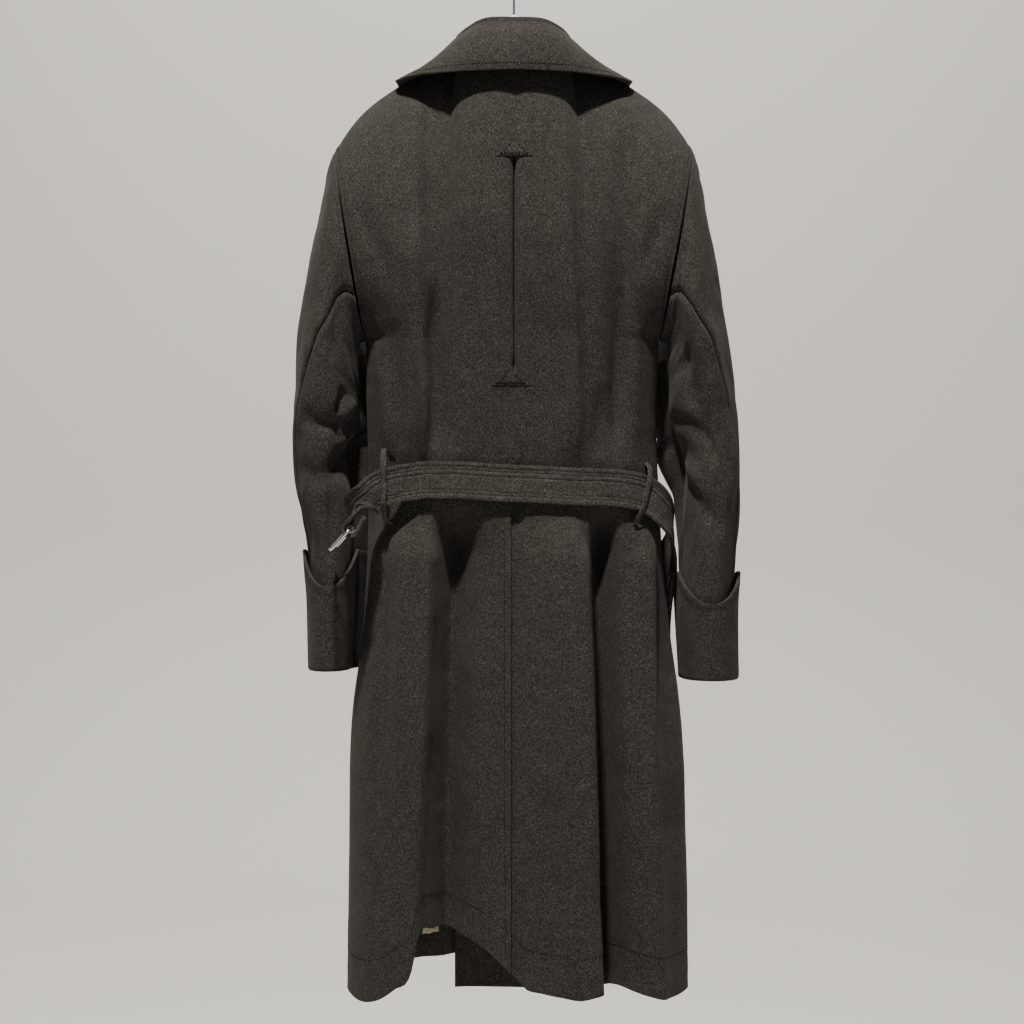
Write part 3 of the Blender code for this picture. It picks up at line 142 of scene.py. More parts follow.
def smoothstep(value):
    """0 below 0, 1 above 1, and between them 3 t squared less 2 t cubed."""
    t = np.clip(value, 0.0, 1.0)
    return t * t * (3.0 - 2.0 * t)


def bell(offset, width):
    """1 at no offset, falling to both sides as e to the power of less (offset / width) squared."""
    return np.exp(-(offset / width) ** 2)


def unit(vectors):
    """The same directions with a length of one."""
    return vectors / np.maximum(np.linalg.norm(vectors, axis=-1, keepdims=True), 1e-12)


def run_length(points):
    """Length of a line of points up to each of them, the sum of the steps before it."""
    return np.concatenate([[0.0], np.cumsum(np.linalg.norm(np.diff(points, axis=0), axis=1))])


def read_line(at, run, points):
    """Places at given lengths along a line of points, straight between them."""
    return np.stack([np.interp(at, run, points[:, axis]) for axis in range(3)], axis=-1)


def soft_noise(u, v, seed):
    """Uneven swell between -1 and 1: random heights on whole numbers, blended smoothly between."""
    lattice = np.random.default_rng(seed).uniform(-1.0, 1.0, (64, 64))
    u, v = np.broadcast_arrays(u, v)
    column = np.floor(u).astype(int)
    row = np.floor(v).astype(int)
    s = smoothstep(u - column)
    t = smoothstep(v - row)
    low = lattice[row % 64, column % 64] * (1 - s) + lattice[row % 64, (column + 1) % 64] * s
    high = lattice[(row + 1) % 64, column % 64] * (1 - s) + lattice[(row + 1) % 64, (column + 1) % 64] * s
    return low * (1 - t) + high * t


def signed_power(value, power):
    """The power of a number's size, with its sign kept."""
    return np.sign(value) * np.abs(value) ** power


def section_value(field, z):
    """One field of the body's sections at a height."""
    order = sorted(SECTIONS)
    return hermite(z, [row.z for row in order], [getattr(row, field) for row in order])


def fold_push(folds, x, z):
    """Height and sideways lean of the folds: a bell across each crest, faded at its ends."""
    height = np.zeros(np.broadcast(x, z).shape)
    lean = np.zeros_like(height)
    for fold in folds:
        along = np.clip((fold.z_top - z) / (fold.z_top - fold.z_low), 0.0, 1.0)
        crest = fold.x_top + (fold.x_low - fold.x_top) * along
        offset = (x - crest) * np.sign(fold.x_top)
        grown = smoothstep((fold.z_top - z) / FOLD_EASE) * smoothstep((z - fold.z_low) / FOLD_EASE)
        height = height + fold.height * bell(offset, np.where(offset > 0, fold.outer, fold.inner)) * grown
        narrow = bell(offset, LEAN_WIDTH * (fold.inner + fold.outer) / 2)
        lean = lean + fold.lean * narrow * grown * np.sign(fold.x_top)
    return height, lean


def body_point(angle, z, back_folds, front_folds):
    """Outer face at an angle round the coat: a squared oval pushed out by the folds.

    Width times a power of the sine, depth times a power of the cosine, then out along the
    oval's own outward direction; the folds fade to nothing at the side seams.
    """
    angle, z = np.broadcast_arrays(np.asarray(angle, float), np.asarray(z, float))
    sine = np.sin(angle)
    cosine = np.cos(angle)
    half = np.where(sine >= 0, section_value("right", z), section_value("left", z))
    depth = np.where(cosine >= 0, section_value("back", z), section_value("front", z))
    x = half * signed_power(sine, SQUARENESS)
    y = -depth * signed_power(cosine, SQUARENESS)
    steep = 2.0 / SQUARENESS - 1.0
    out = unit(np.stack([signed_power(x / half, steep) / half, signed_power(y / depth, steep) / depth],
                        axis=-1))
    back_height, back_lean = fold_push(back_folds, x, z)
    front_height, front_lean = fold_push(front_folds, x, z)
    fade = 1.0 - np.abs(sine) ** 16
    height = np.where(cosine >= 0, back_height, front_height) * fade
    lean = np.where(cosine >= 0, back_lean, front_lean) * fade
    return np.stack([x + out[..., 0] * height + lean, y + out[..., 1] * height, z], axis=-1)


def angle_at(x, z, front=False):
    """Angle round the coat at which its plain oval has this x."""
    x, z = np.broadcast_arrays(np.asarray(x, float), np.asarray(z, float))
    half = np.where(x >= 0, section_value("right", z), section_value("left", z))
    angle = np.arcsin(signed_power(np.clip(x / half, -1.0, 1.0), 1.0 / SQUARENESS))
    return np.pi - angle if front else angle


def neckline(angle):
    """Neck seam: half an oval at the back and half a deeper one in front, falling as cosine squared."""
    back = np.cos(angle) >= 0
    depth = np.where(back, NECK_BACK_DEPTH, NECK_FRONT_DEPTH)
    drop = np.where(back, NECK_BACK_Z, NECK_FRONT_Z) - NECK_SIDE_Z
    return np.stack([NECK_HALF_WIDTH * np.sin(angle), -depth * np.cos(angle),
                     NECK_SIDE_Z + drop * np.cos(angle) ** 2], axis=-1)


def shoulder_seam(share, side):
    """Shoulder seam from the neck to the sleeve head, a smooth curve through its table."""
    x = hermite(share, SHOULDER_SHARES, SHOULDER_X)
    z = hermite(share, SHOULDER_SHARES, SHOULDER_Z)
    return np.stack([side * x, np.zeros_like(x), z], axis=-1)


def hung_hem(points, hem):
    """The same grid with its lower rows raised to the hem's own line, by share of the way down."""
    lift = hermite(points[..., 0], [p.x for p in hem], [p.lift for p in hem])
    lift[:, -1] = SIDE_HEM_LIFT
    # the last few columns settle on the side seam's own lift
    near = np.linspace(0.0, 1.0, points.shape[1])[None, :] ** 24
    lift = lift + (SIDE_HEM_LIFT - lift) * near
    share = np.clip((HEM_START_Z - points[..., 2]) / (HEM_START_Z - HEM_Z), 0.0, 1.0)
    raised = points.copy()
    raised[..., 2] += lift * share
    return raised


def upper_panel(low_row, top_row, centre_line, arm_line, folds):
    """Upper part of a panel between its four edges.

    The low and top edges mixed by height, plus the centre and armhole edges mixed by width,
    less the corners counted twice; the folds fade towards every seam.
    """
    v = np.linspace(0.0, 1.0, len(centre_line))[:, None, None]
    length = run_length(top_row)
    u = (length / length[-1])[None, :, None]
    patch = (1 - v) * low_row[None] + v * top_row[None]
    patch = patch + (1 - u) * (centre_line[:, None] - (1 - v) * low_row[0] - v * top_row[0])
    patch = patch + u * (arm_line[:, None] - (1 - v) * low_row[-1] - v * top_row[-1])
    facing = np.sign(low_row[0, 1])
    fade = np.sin(np.pi * v[..., 0]) * np.sin(np.pi * np.clip(u[..., 0], 0.0, 1.0)) ** 0.5
    height, lean = fold_push(folds, patch[..., 0], patch[..., 2])
    patch[..., 1] += facing * height * fade
    patch[..., 0] += lean * fade
    return patch


def grid_normals(points, wraps=False):
    """Unit directions square to a grid, from the differences between its rows and columns."""
    if wraps:
        across = np.roll(points, -1, axis=1) - np.roll(points, 1, axis=1)
    else:
        across = np.gradient(points, axis=1)
    return unit(np.cross(across, np.gradient(points, axis=0)))


Ring = namedtuple("Ring", "outer_x outer_z inner_x inner_z depth swell")
ARMHOLE = {-1: Ring(0.23, SHOULDER_TIP_Z, 0.19, UNDERARM_Z, 0.07, 0.0),
           1: Ring(0.23, SHOULDER_TIP_Z, 0.185, UNDERARM_Z, 0.07, 0.0)}


def ring_points(rings, side, at, count, turned=0.0):
    """Rings across a sleeve between its outer and inner points, 0 the armhole and 1 the end.

    Round each ring the way across goes as half of 1 less the cosine, and the depth as the sine.
    The front of the inner side swells towards the coat, and turned moves the first point round.
    """
    knots = np.linspace(0.0, 1.0, len(rings))
    outer = hermite(at, knots, [(side * r.outer_x, r.outer_z) for r in rings])
    inner = hermite(at, knots, [(side * r.inner_x, r.inner_z) for r in rings])
    depth = hermite(at, knots, [r.depth for r in rings])
    phi = np.linspace(0.0, 2.0 * np.pi, count, endpoint=False) + np.broadcast_to(turned, at.shape)[:, None]
    swing = (1.0 - np.cos(phi)) / 2.0
    across = inner[:, None, :] + (outer - inner)[:, None, :] * swing[..., None]
    y = -depth[:, None] * np.sin(phi)
    swell = hermite(at, knots, [r.swell for r in rings])[:, None]
    swell = swell * np.maximum(-np.sin(phi), 0.0) * (1.0 - swing) ** 2
    return np.stack([across[..., 0] - side * swell, y, across[..., 1]], axis=-1)


# A crease is a soft uneven ridge or trough along a few points (x, z) of the panel.
Crease = namedtuple("Crease", "points width height")


def crease_height(creases, x, z, seed=1):
    """Sum of bells across each crease's line, swollen unevenly along it and faded at its ends."""
    total = np.zeros(x.shape)
    for index, crease in enumerate(creases):
        line = np.array(crease.points, float)
        starts = run_length(line)
        best = np.full(x.shape, 1e9)
        place = np.zeros(x.shape)
        for start, end, before, after in zip(line[:-1], line[1:], starts[:-1], starts[1:]):
            length = after - before
            way = (end - start) / length
            t = np.clip((x - start[0]) * way[0] + (z - start[1]) * way[1], 0.0, length)
            distance = np.hypot(x - start[0] - way[0] * t, z - start[1] - way[1] * t)
            nearer = distance < best
            best = np.where(nearer, distance, best)
            place = np.where(nearer, before + t, place)
        share = place / starts[-1]
        uneven = 1.0 + 0.35 * soft_noise(place / 0.045, 3.1 * index + 0 * place, seed + index)
        ends = np.sin(np.pi * np.clip(share, 0.0, 1.0)) ** 0.6
        total = total + crease.height * uneven * ends * bell(best, crease.width)
    return total


BACK_CREASES = (
    Crease(((-0.166, -0.73), (-0.161, -0.9), (-0.158, -1.08), (-0.156, -1.34)), 0.0028, -0.002),
    Crease(((0.186, -0.7), (0.184, -0.9), (0.18, -1.06), (0.172, -1.2)), 0.0028, -0.002),
    Crease(((-0.124, -0.48), (-0.116, -0.56), (-0.113, -0.66)), 0.005, 0.003),
    Crease(((-0.118, -0.15), (-0.104, -0.23), (-0.1, -0.33), (-0.108, -0.42)), 0.016, -0.0051),
    Crease(((-0.124, -0.47), (-0.114, -0.56), (-0.112, -0.65)), 0.007, 0.0044),
    Crease(((-0.098, -0.44), (-0.098, -0.54), (-0.1, -0.64)), 0.009, -0.0051),
    Crease(((-0.15, -0.48), (-0.146, -0.56), (-0.14, -0.64)), 0.01, -0.0048),
    Crease(((-0.172, -0.5), (-0.166, -0.56), (-0.16, -0.64)), 0.009, 0.0037),
    Crease(((0.148, -0.33), (0.142, -0.4), (0.134, -0.48), (0.132, -0.64)), 0.009, -0.0058),
    Crease(((0.112, -0.56), (0.108, -0.6), (0.106, -0.65)), 0.01, -0.0048),
    Crease(((0.07, -0.5), (0.074, -0.57), (0.077, -0.65)), 0.008, 0.0041),
    Crease(((0.156, -0.48), (0.152, -0.56), (0.15, -0.64)), 0.008, 0.0034),
    Crease(((0.03, -0.43), (0.034, -0.52), (0.036, -0.62)), 0.014, -0.002),
    Crease(((-0.05, -0.3), (-0.054, -0.42), (-0.05, -0.56)), 0.018, -0.002),
    Crease(((-0.196, -0.33), (-0.176, -0.38), (-0.15, -0.44)), 0.012, -0.0044),
    Crease(((0.194, -0.33), (0.176, -0.38), (0.158, -0.43)), 0.012, -0.0041),
    Crease(((-0.044, -0.72), (-0.05, -0.86), (-0.058, -1.06), (-0.062, -1.28)), 0.014, 0.0051),
    Crease(((-0.014, -0.73), (-0.02, -0.88), (-0.022, -1.08), (-0.024, -1.27)), 0.012, -0.0044),
    Crease(((0.03, -0.73), (0.034, -0.86), (0.04, -1.06), (0.046, -1.32)), 0.014, -0.0041),
    Crease(((0.052, -0.74), (0.06, -0.9), (0.066, -1.32)), 0.01, 0.0034),
    Crease(((-0.16, -0.72), (-0.164, -0.9), (-0.17, -1.1), (-0.172, -1.33)), 0.012, -0.0044),
    Crease(((-0.14, -0.73), (-0.14, -0.86), (-0.146, -1.0)), 0.008, 0.0037),
    Crease(((0.134, -0.74), (0.138, -0.9), (0.146, -1.1), (0.15, -1.32)), 0.01, 0.0044),
    Crease(((0.184, -0.74), (0.19, -0.9), (0.198, -1.1), (0.2, -1.3)), 0.01, -0.0041),
)


def back_grid(side):
    """Outer face of one back panel, rows from hem to shoulder, columns from centre to side."""
    z = np.linspace(HEM_Z, UNDERARM_Z, BODY_ROWS + 1)
    shares = np.linspace(0.0, 1.0, SHOULDER_COLUMNS + NECK_COLUMNS + 1)[1:]
    vent = smoothstep((VENT_TOP_Z - z) / (VENT_TOP_Z - VENT_OPEN_Z))[:, None]
    if side > 0:
        x = PLEAT_FLAT + (VENT_X - PLEAT_FLAT) * vent
    else:
        x = PLEAT_FLAT + VENT_LAP * vent
    inner = angle_at(side * x, z[:, None])
    outer = inner[:, -1:] + (side * np.pi / 2 - inner[:, -1:]) * shares
    lower = body_point(np.concatenate([inner, outer], axis=1), z[:, None], BACK_FOLDS, ())
    if side > 0:
        sunk = smoothstep((VENT_STEP_Z - z) / (VENT_STEP_Z - VENT_TOP_Z))[:, None]
        lower[..., 1] += LAYER_DROP * smoothstep((0.016 - lower[..., 0]) / 0.011) * sunk
    # the neck's first places stand over the pleat's columns, and the rest are even
    middle = PLEAT_FLAT / NECK_HALF_WIDTH * 0.8
    onward = middle[-1] + (1 - middle[-1]) * np.arange(1, NECK_COLUMNS + 1) / NECK_COLUMNS
    neck = neckline(side * np.concatenate([middle, onward]) * np.pi / 2)
    shoulder = shoulder_seam(np.arange(1, SHOULDER_COLUMNS + 1) / SHOULDER_COLUMNS, side)
    top = np.concatenate([neck, shoulder])
    v = np.linspace(0.0, 1.0, ARM_ROWS + 1)
    low_row = lower[-1]
    centre_y = hermite(v, (0.0, 0.45, 0.8, 1.0), [low_row[0, 1], -BLADE_DEPTH, -NAPE_DEPTH, top[0, 1]])
    centre_line = np.stack([np.zeros_like(v), centre_y, UNDERARM_Z + (top[0, 2] - UNDERARM_Z) * v], axis=-1)
    arm_line = ring_points([ARMHOLE[side]] * 2, side, np.array([0.0]), 2 * ARM_ROWS)[0][:ARM_ROWS + 1]
    upper = upper_panel(low_row, top, centre_line, arm_line, BACK_FOLDS)
    return hung_hem(np.concatenate([lower, upper[1:]]), BACK_HEM)


def dress_panel(grid, side, creases, seed):
    """Push a panel's grid along its normals by its creases and a soft swell, still at its seams."""
    normals = side * grid_normals(grid)
    row = np.linspace(0.0, 1.0, grid.shape[0])[:, None]
    column = np.linspace(0.0, 1.0, grid.shape[1])[None, :]
    still = smoothstep((1.0 - column) / 0.06) * smoothstep((1.0 - row) / 0.03)
    x, z = grid[..., 0], grid[..., 2]
    height = crease_height(creases, x, z, seed)
    # a slow swell of 34 by 70 mm and a finer one of 12 by 18 mm
    height = height + 0.0009 * soft_noise(x / 0.034, z / 0.07, seed + 7)
    height = height + 0.0004 * soft_noise(x / 0.012, z / 0.018, seed + 8)
    return grid + normals * (height * still)[..., None]


def close_pleat(grid, side):
    """Draw the centre columns together and inwards where the pleat is closed."""
    z = grid[:, :1, 2]
    closed = smoothstep((PLEAT_TOP_Z - z) / PLEAT_EASE) * smoothstep((z - PLEAT_LOW_Z) / PLEAT_EASE)
    count = len(PLEAT_FLAT)
    grid[:, :count, 0] += closed * side * (PLEAT_X - PLEAT_FLAT)
    grid[:, :count, 1] += closed * PLEAT_DEPTH
    return grid


def press_armhole(grid, side):
    """Draw a panel in along its armhole seam and along the topstitching inboard of it.

    The depth is a narrow bell at the seam and a shallow one at the stitches, with the
    cloth between them puffed out a little.
    """
    normals = side * grid_normals(grid)
    distance = np.linalg.norm(grid - grid[:, -1:], axis=-1)
    depth = 0.0022 * bell(distance, 0.003) + 0.0013 * bell(distance - 0.0105, 0.0022)
    depth = depth - 0.0008 * bell(distance - 0.0058, 0.0026)
    upper = (np.arange(grid.shape[0]) > BODY_ROWS - 2)[:, None]
    return grid - normals * (depth * upper)[..., None]


def linear(colour):
    """Linear red, green and blue and 1, from an sRGB hex colour."""
    srgb = np.array([int(colour[i:i + 2], 16) for i in (1, 3, 5)]) / 255.0
    low = srgb / 12.92
    high = ((srgb + 0.055) / 1.055) ** 2.4
    return (*np.where(srgb <= 0.04045, low, high).tolist(), 1.0)


def node(tree, kind, settings=(), **links):
    """Add a node, set its properties and sockets by name, and link named inputs to it."""
    made = tree.nodes.new(kind)
    for key, value in dict(settings).items():
        if isinstance(key, str) and hasattr(made, key):
            setattr(made, key, value)
        else:
            made.inputs[key].default_value = value
    for key, source in links.items():
        target = made.inputs[int(key[1:]) if key[0] == "_" else key.replace("_", " ")]
        tree.links.new(source, target)
    return made


def new_material(name, **settings):
    """A named material, its tree and its principled surface with these inputs set."""
    material = bpy.data.materials.new(name)
    material.use_nodes = True
    surface = material.node_tree.nodes["Principled BSDF"]
    for key, value in settings.items():
        surface.inputs[key.replace("_", " ")].default_value = value
    return material, material.node_tree, surface


def shades(tree, factor, stops):
    """Colour that runs through the given (value, sRGB hex) stops as a noise's factor rises."""
    ramp = node(tree, "ShaderNodeValToRGB", Fac=factor)
    while len(ramp.color_ramp.elements) < len(stops):
        ramp.color_ramp.elements.new(0.5)
    for element, (value, colour) in zip(ramp.color_ramp.elements, stops):
        element.position = value
        element.color = linear(colour)
    return ramp.outputs["Color"]


def spread(tree, value, low, high, to_low, to_high):
    """A value from low to high, laid evenly over the range from to_low to to_high."""
    settings = {"From Min": low, "From Max": high, "To Min": to_low, "To Max": to_high}
    return node(tree, "ShaderNodeMapRange", settings, Value=value).outputs["Result"]


def relief(tree, surface, height, strength, distance, **links):
    """Bump of a surface by a height that runs from 0 to a real distance."""
    bump = node(tree, "ShaderNodeBump", {"Strength": strength, "Distance": distance}, Height=height, **links)
    tree.links.new(bump.outputs["Normal"], surface.inputs["Normal"])


def wool_melton(name, dark, mid, light, nap=1.0):
    """Milled wool melton: fibres of three shades, felted over, with a short matt nap."""
    material, tree, surface = new_material(
        name, Roughness=0.94, Specular_IOR_Level=0.22, Sheen_Weight=0.12, Sheen_Roughness=0.55,
        Sheen_Tint=linear("#8a877f"))
    place = node(tree, "ShaderNodeTexCoord").outputs["Object"]
    # fibre flecks about 1.3 mm across, streaked a little down the cloth
    streak = node(tree, "ShaderNodeMapping", {"Scale": (1.0, 1.0, 0.62)}, Vector=place)
    fleck = node(tree, "ShaderNodeTexNoise", {"Scale": 760.0, "Detail": 2.0, "Roughness": 0.6},
                 Vector=streak.outputs[0])
    # cloudy shade of the dyed wool, about 16 mm
    cloud = node(tree, "ShaderNodeTexNoise", {"Scale": 62.0, "Detail": 3.0, "Roughness": 0.6}, Vector=place)
    fibres = shades(tree, fleck.outputs["Fac"], ((0.34, dark), (0.5, mid), (0.68, light)))
    shade = spread(tree, cloud.outputs["Fac"], 0.3, 0.7, 0.86, 1.14)
    mottled = node(tree, "ShaderNodeMix", {"data_type": "RGBA", "blend_type": "MULTIPLY", 0: 1.0},
                   _6=fibres, _7=shade)
    tree.links.new(mottled.outputs[2], surface.inputs["Base Color"])
    # nap: hairs about 1.2 mm, over a felted surface of 5 mm
    hair = node(tree, "ShaderNodeTexNoise", {"Scale": 830.0, "Detail": 4.0, "Roughness": 0.75},
                Vector=streak.outputs[0])
    felt = node(tree, "ShaderNodeTexNoise", {"Scale": 190.0, "Detail": 2.0}, Vector=place)
    low = node(tree, "ShaderNodeBump", {"Strength": 0.35 * nap, "Distance": 0.001},
               Height=felt.outputs["Fac"])
    relief(tree, surface, hair.outputs["Fac"], 0.75 * nap, 0.0006, Normal=low.outputs["Normal"])
    return material


def mesh_piece(name, points, faces, material, outward=False):
    """A smooth mesh of points and faces; outward joins doubled points and turns its faces out."""
    mesh = bpy.data.meshes.new(name)
    mesh.from_pydata(points.reshape(-1, 3).tolist(), [], faces)
    mesh.polygons.foreach_set("use_smooth", np.ones(len(mesh.polygons), bool))
    mesh.materials.append(material)
    if outward:
        work = bmesh.new()
        work.from_mesh(mesh)
        bmesh.ops.remove_doubles(work, verts=work.verts, dist=1e-7)
        bmesh.ops.recalc_face_normals(work, faces=work.faces)
        work.to_mesh(mesh)
        work.free()
    piece = bpy.data.objects.new(name, mesh)
    bpy.context.scene.collection.objects.link(piece)
    return piece


def sheet_mesh(name, grid, material, wraps=False, flip=False, keep=None, caps=False, loops=False,
               outward=False):
    """A smooth mesh of quads through a grid of points, closed round its columns if it wraps.

    keep picks the faces that are made, caps closes both ends, loops joins the last row to
    the first, and outward turns a closed shape's faces out.
    """
    rows, columns = grid.shape[:2]
    index = np.arange(rows * columns).reshape(rows, columns)
    if wraps:
        index = np.concatenate([index, index[:, :1]], axis=1)
    if loops:
        index = np.concatenate([index, index[:1]], axis=0)
    quads = np.stack([index[:-1, :-1], index[:-1, 1:], index[1:, 1:], index[1:, :-1]], axis=-1)
    quads = quads[keep] if keep is not None else quads.reshape(-1, 4)
    faces = (quads[:, ::-1] if flip else quads).tolist()
    if caps:
        ends = [index[0, :columns][::-1].tolist(), index[-1, :columns].tolist()]
        faces += [end[::-1] for end in ends] if flip else ends
    return mesh_piece(name, grid, faces, material, outward)


def thicken(piece, thickness, round_edge=0.0007):
    """Give a sheet its cloth's thickness on the inside, and round the cut edges a little."""
    wall = piece.modifiers.new("cloth", "SOLIDIFY")
    wall.thickness = thickness
    wall.offset = -1.0
    wall.use_even_offset = False
    if round_edge:
        edge = piece.modifiers.new("edge", "BEVEL")
        edge.width = round_edge
        edge.segments = 2
        edge.limit_method = "ANGLE"
        edge.angle_limit = np.radians(62)
    return piece


wool = wool_melton("wool_melton_milled", "#151412", "#24221f", "#403d38")

backs = {}
for word, side in (("left", -1), ("right", 1)):
    grid = dress_panel(back_grid(side), side, BACK_CREASES, 11)
    grid = press_armhole(close_pleat(grid, side), side)
    # the centre seam is closed by half a millimetre from each side, except in the pleat and vent
    z = grid[:, 0, 2]
    pleated = smoothstep((z - PLEAT_LOW_Z) / 0.004) * (1 - smoothstep((z - PLEAT_TOP_Z) / 0.004))
    grid[:, 0, 0] -= side * 0.0005 * np.where(z > VENT_STEP_Z, 1 - pleated, 0.0)
    backs[word] = grid
    piece = thicken(sheet_mesh("back_panel_" + word, grid, wool, flip=side < 0), CLOTH)
    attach(piece, "coat")
    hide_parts("back_" + word)

# Two fronts
# The same wool, double breasted: the wearer's left front laps over the right one, and both
# are sewn to the backs at the sides and shoulders. Their edges are faced, turned and
# topstitched, and they hang free below the buttons.
CHEST_DEPTH = 0.082
FRONT_OVERLAP = 0.078
OVERLAP_COLUMNS = 16
FRONT_NECK_COLUMNS = 14
NET_X = np.linspace(-0.24, 0.24, 241)
NET_Z = np.linspace(-1.36, -0.1, 632)
FRONT_FOLDS = (
    Fold(-0.128, -0.715, -0.146, -1.5, 0.034, 0.02, 0.014, -0.004),
    Fold(-0.092, -0.74, -0.1, -1.5, 0.016, 0.016, -0.012, 0.0),
    Fold(0.126, -0.715, 0.142, -1.5, 0.03, 0.022, 0.013, 0.004),
    Fold(0.166, -0.72, 0.178, -1.5, 0.014, 0.014, -0.01, 0.0),
    Fold(-0.132, -0.3, -0.12, -0.66, 0.016, 0.016, -0.006, 0.0),
    Fold(0.134, -0.3, 0.122, -0.66, 0.018, 0.014, -0.007, 0.0),
)
LEFT_FRONT_HEM = (HemPoint(-0.213, 0.02), HemPoint(-0.11, 0.04), HemPoint(0.078, 0.054))
RIGHT_FRONT_HEM = (HemPoint(-0.078, 0.0), HemPoint(0.12, 0.002), HemPoint(0.222, 0.02))
FRONT_CREASES = (
    Crease(((-0.13, -0.47), (-0.124, -0.56), (-0.118, -0.66)), 0.01, -0.003),
    Crease(((0.128, -0.47), (0.124, -0.56), (0.12, -0.66)), 0.01, -0.003),
    Crease(((-0.18, -0.36), (-0.16, -0.42), (-0.13, -0.48)), 0.012, -0.0026),
    Crease(((0.18, -0.36), (0.16, -0.42), (0.13, -0.48)), 0.012, -0.0026),
    Crease(((-0.02, -0.62), (-0.016, -0.8), (-0.02, -1.05), (-0.024, -1.26)), 0.016, -0.0024),
    Crease(((-0.056, -0.66), (-0.058, -0.84), (-0.064, -1.08), (-0.066, -1.26)), 0.014, 0.0026),
    Crease(((0.038, -0.64), (0.042, -0.82), (0.048, -1.06), (0.052, -1.26)), 0.014, 0.0024),
    Crease(((0.1, -0.7), (0.104, -0.9), (0.112, -1.12), (0.116, -1.3)), 0.012, -0.0024),
)


def along_grid(grid, rows, columns):
    """Places of a grid between its points, the four nearest blended by their shares."""
    rows, columns = np.broadcast_arrays(np.asarray(rows, float), np.asarray(columns, float))
    r = np.clip(np.floor(rows).astype(int), 0, grid.shape[0] - 2)
    c = np.clip(np.floor(columns).astype(int), 0, grid.shape[1] - 2)
    s, t = (rows - r)[..., None], (columns - c)[..., None]
    return ((grid[r, c] * (1 - t) + grid[r, c + 1] * t) * (1 - s)
            + (grid[r + 1, c] * (1 - t) + grid[r + 1, c + 1] * t) * s)


def read_across(grid, x, z):
    """Depth y of a panel at places (x, z), from an even net of depths laid over it."""
    order = 1 if grid[0, -1, 0] > grid[0, 0, 0] else -1
    y_rows = np.array([np.interp(NET_X, row[::order, 0], row[::order, 1]) for row in grid])
    z_rows = np.array([np.interp(NET_X, row[::order, 0], row[::order, 2]) for row in grid])
    net = np.array([np.interp(NET_Z, z_rows[:, i], y_rows[:, i]) for i in range(len(NET_X))])
    u = np.interp(x, NET_X, np.arange(len(NET_X)))
    v = np.interp(z, NET_Z, np.arange(len(NET_Z)))
    return along_grid(net[..., None], u, v)[..., 0]


def front_grid(side):
    """Outer face of one front, rows from hem to shoulder, columns from its edge to the side seam."""
    shares = np.linspace(0.0, 1.0, OVERLAP_COLUMNS + FRONT_NECK_COLUMNS + SHOULDER_COLUMNS + 1)
    z = np.linspace(HEM_Z, UNDERARM_Z, BODY_ROWS + 1)[:, None]
    edge = angle_at(-side * FRONT_OVERLAP, z, front=True)
    seam = side * np.pi / 2 + (2 * np.pi if side < 0 else 0.0)
    lower = body_point(edge + (seam - edge) * shares, z, (), FRONT_FOLDS)
    low_row = lower[-1]
    neck = neckline(side * np.pi * np.linspace(1.0, 0.5, FRONT_NECK_COLUMNS + 1))
    corner = np.array([-side * FRONT_OVERLAP, NECK_FRONT_DEPTH + 0.012, NECK_FRONT_Z - 0.012])
    flap = corner + (neck[0] - corner) * np.arange(OVERLAP_COLUMNS)[:, None] / OVERLAP_COLUMNS
    shoulder = shoulder_seam(np.arange(1, SHOULDER_COLUMNS + 1) / SHOULDER_COLUMNS, side)
    top = np.concatenate([flap, neck, shoulder])
    v = np.linspace(0.0, 1.0, ARM_ROWS + 1)
    centre_line = low_row[0] + (corner - low_row[0]) * v[:, None]
    centre_line[:, 1] = hermite(v, (0.0, 0.5, 1.0), [low_row[0, 1], CHEST_DEPTH, corner[1]])
    ring = ring_points([ARMHOLE[side]] * 2, side, np.array([0.0]), 2 * ARM_ROWS)[0]
    arm_line = ring[(-np.arange(ARM_ROWS + 1)) % (2 * ARM_ROWS)]
    upper = upper_panel(low_row, top, centre_line, arm_line, FRONT_FOLDS)
    return np.concatenate([lower, upper[1:]])


fronts = {}
for word, side in (("left", -1), ("right", 1)):
    grid = front_grid(side)
    if side > 0:
        under = smoothstep((FRONT_OVERLAP + 0.024 - grid[..., 0]) / 0.02)
        covered = read_across(plain_left_front, grid[..., 0], grid[..., 2]) - LAYER_DROP
        grid[..., 1] += (np.minimum(grid[..., 1], covered) - grid[..., 1]) * under
    else:
        plain_left_front = grid.copy()
    grid = hung_hem(grid, LEFT_FRONT_HEM if side < 0 else RIGHT_FRONT_HEM)
    # the right front lies under the left one and hangs smooth
    grid = dress_panel(grid, -side, FRONT_CREASES if side < 0 else (), 31)
    fronts[word] = grid
    piece = thicken(sheet_mesh("front_panel_" + word, grid, wool, flip=side > 0), CLOTH)
    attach(piece, "coat")
    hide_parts("front_" + word)

# Two-piece sleeves
# The same wool, cut as a top and an under sleeve, seamed down the back and the inner arm,
# eased into the armhole and hanging from it with soft crumples at the elbow.
LEFT_SLEEVE = (
    ARMHOLE[-1], Ring(0.24, -0.29, 0.1975, -0.5035, 0.075, 0.003),
    Ring(0.252, -0.346, 0.2, -0.518, 0.078, 0.022), Ring(0.264, -0.414, 0.199, -0.54, 0.079, 0.044),
    Ring(0.274, -0.475, 0.199, -0.565, 0.078, 0.052), Ring(0.28, -0.55, 0.201, -0.605, 0.075, 0.056),
    Ring(0.283, -0.615, 0.214, -0.642, 0.071, 0.08), Ring(0.278, -0.69, 0.206, -0.7, 0.068, 0.062),
    Ring(0.264, -0.755, 0.206, -0.757, 0.066, 0.05), Ring(0.259, -0.83, 0.209, -0.83, 0.064, 0.036),
    Ring(0.259, -0.912, 0.211, -0.912, 0.064, 0.027),
)
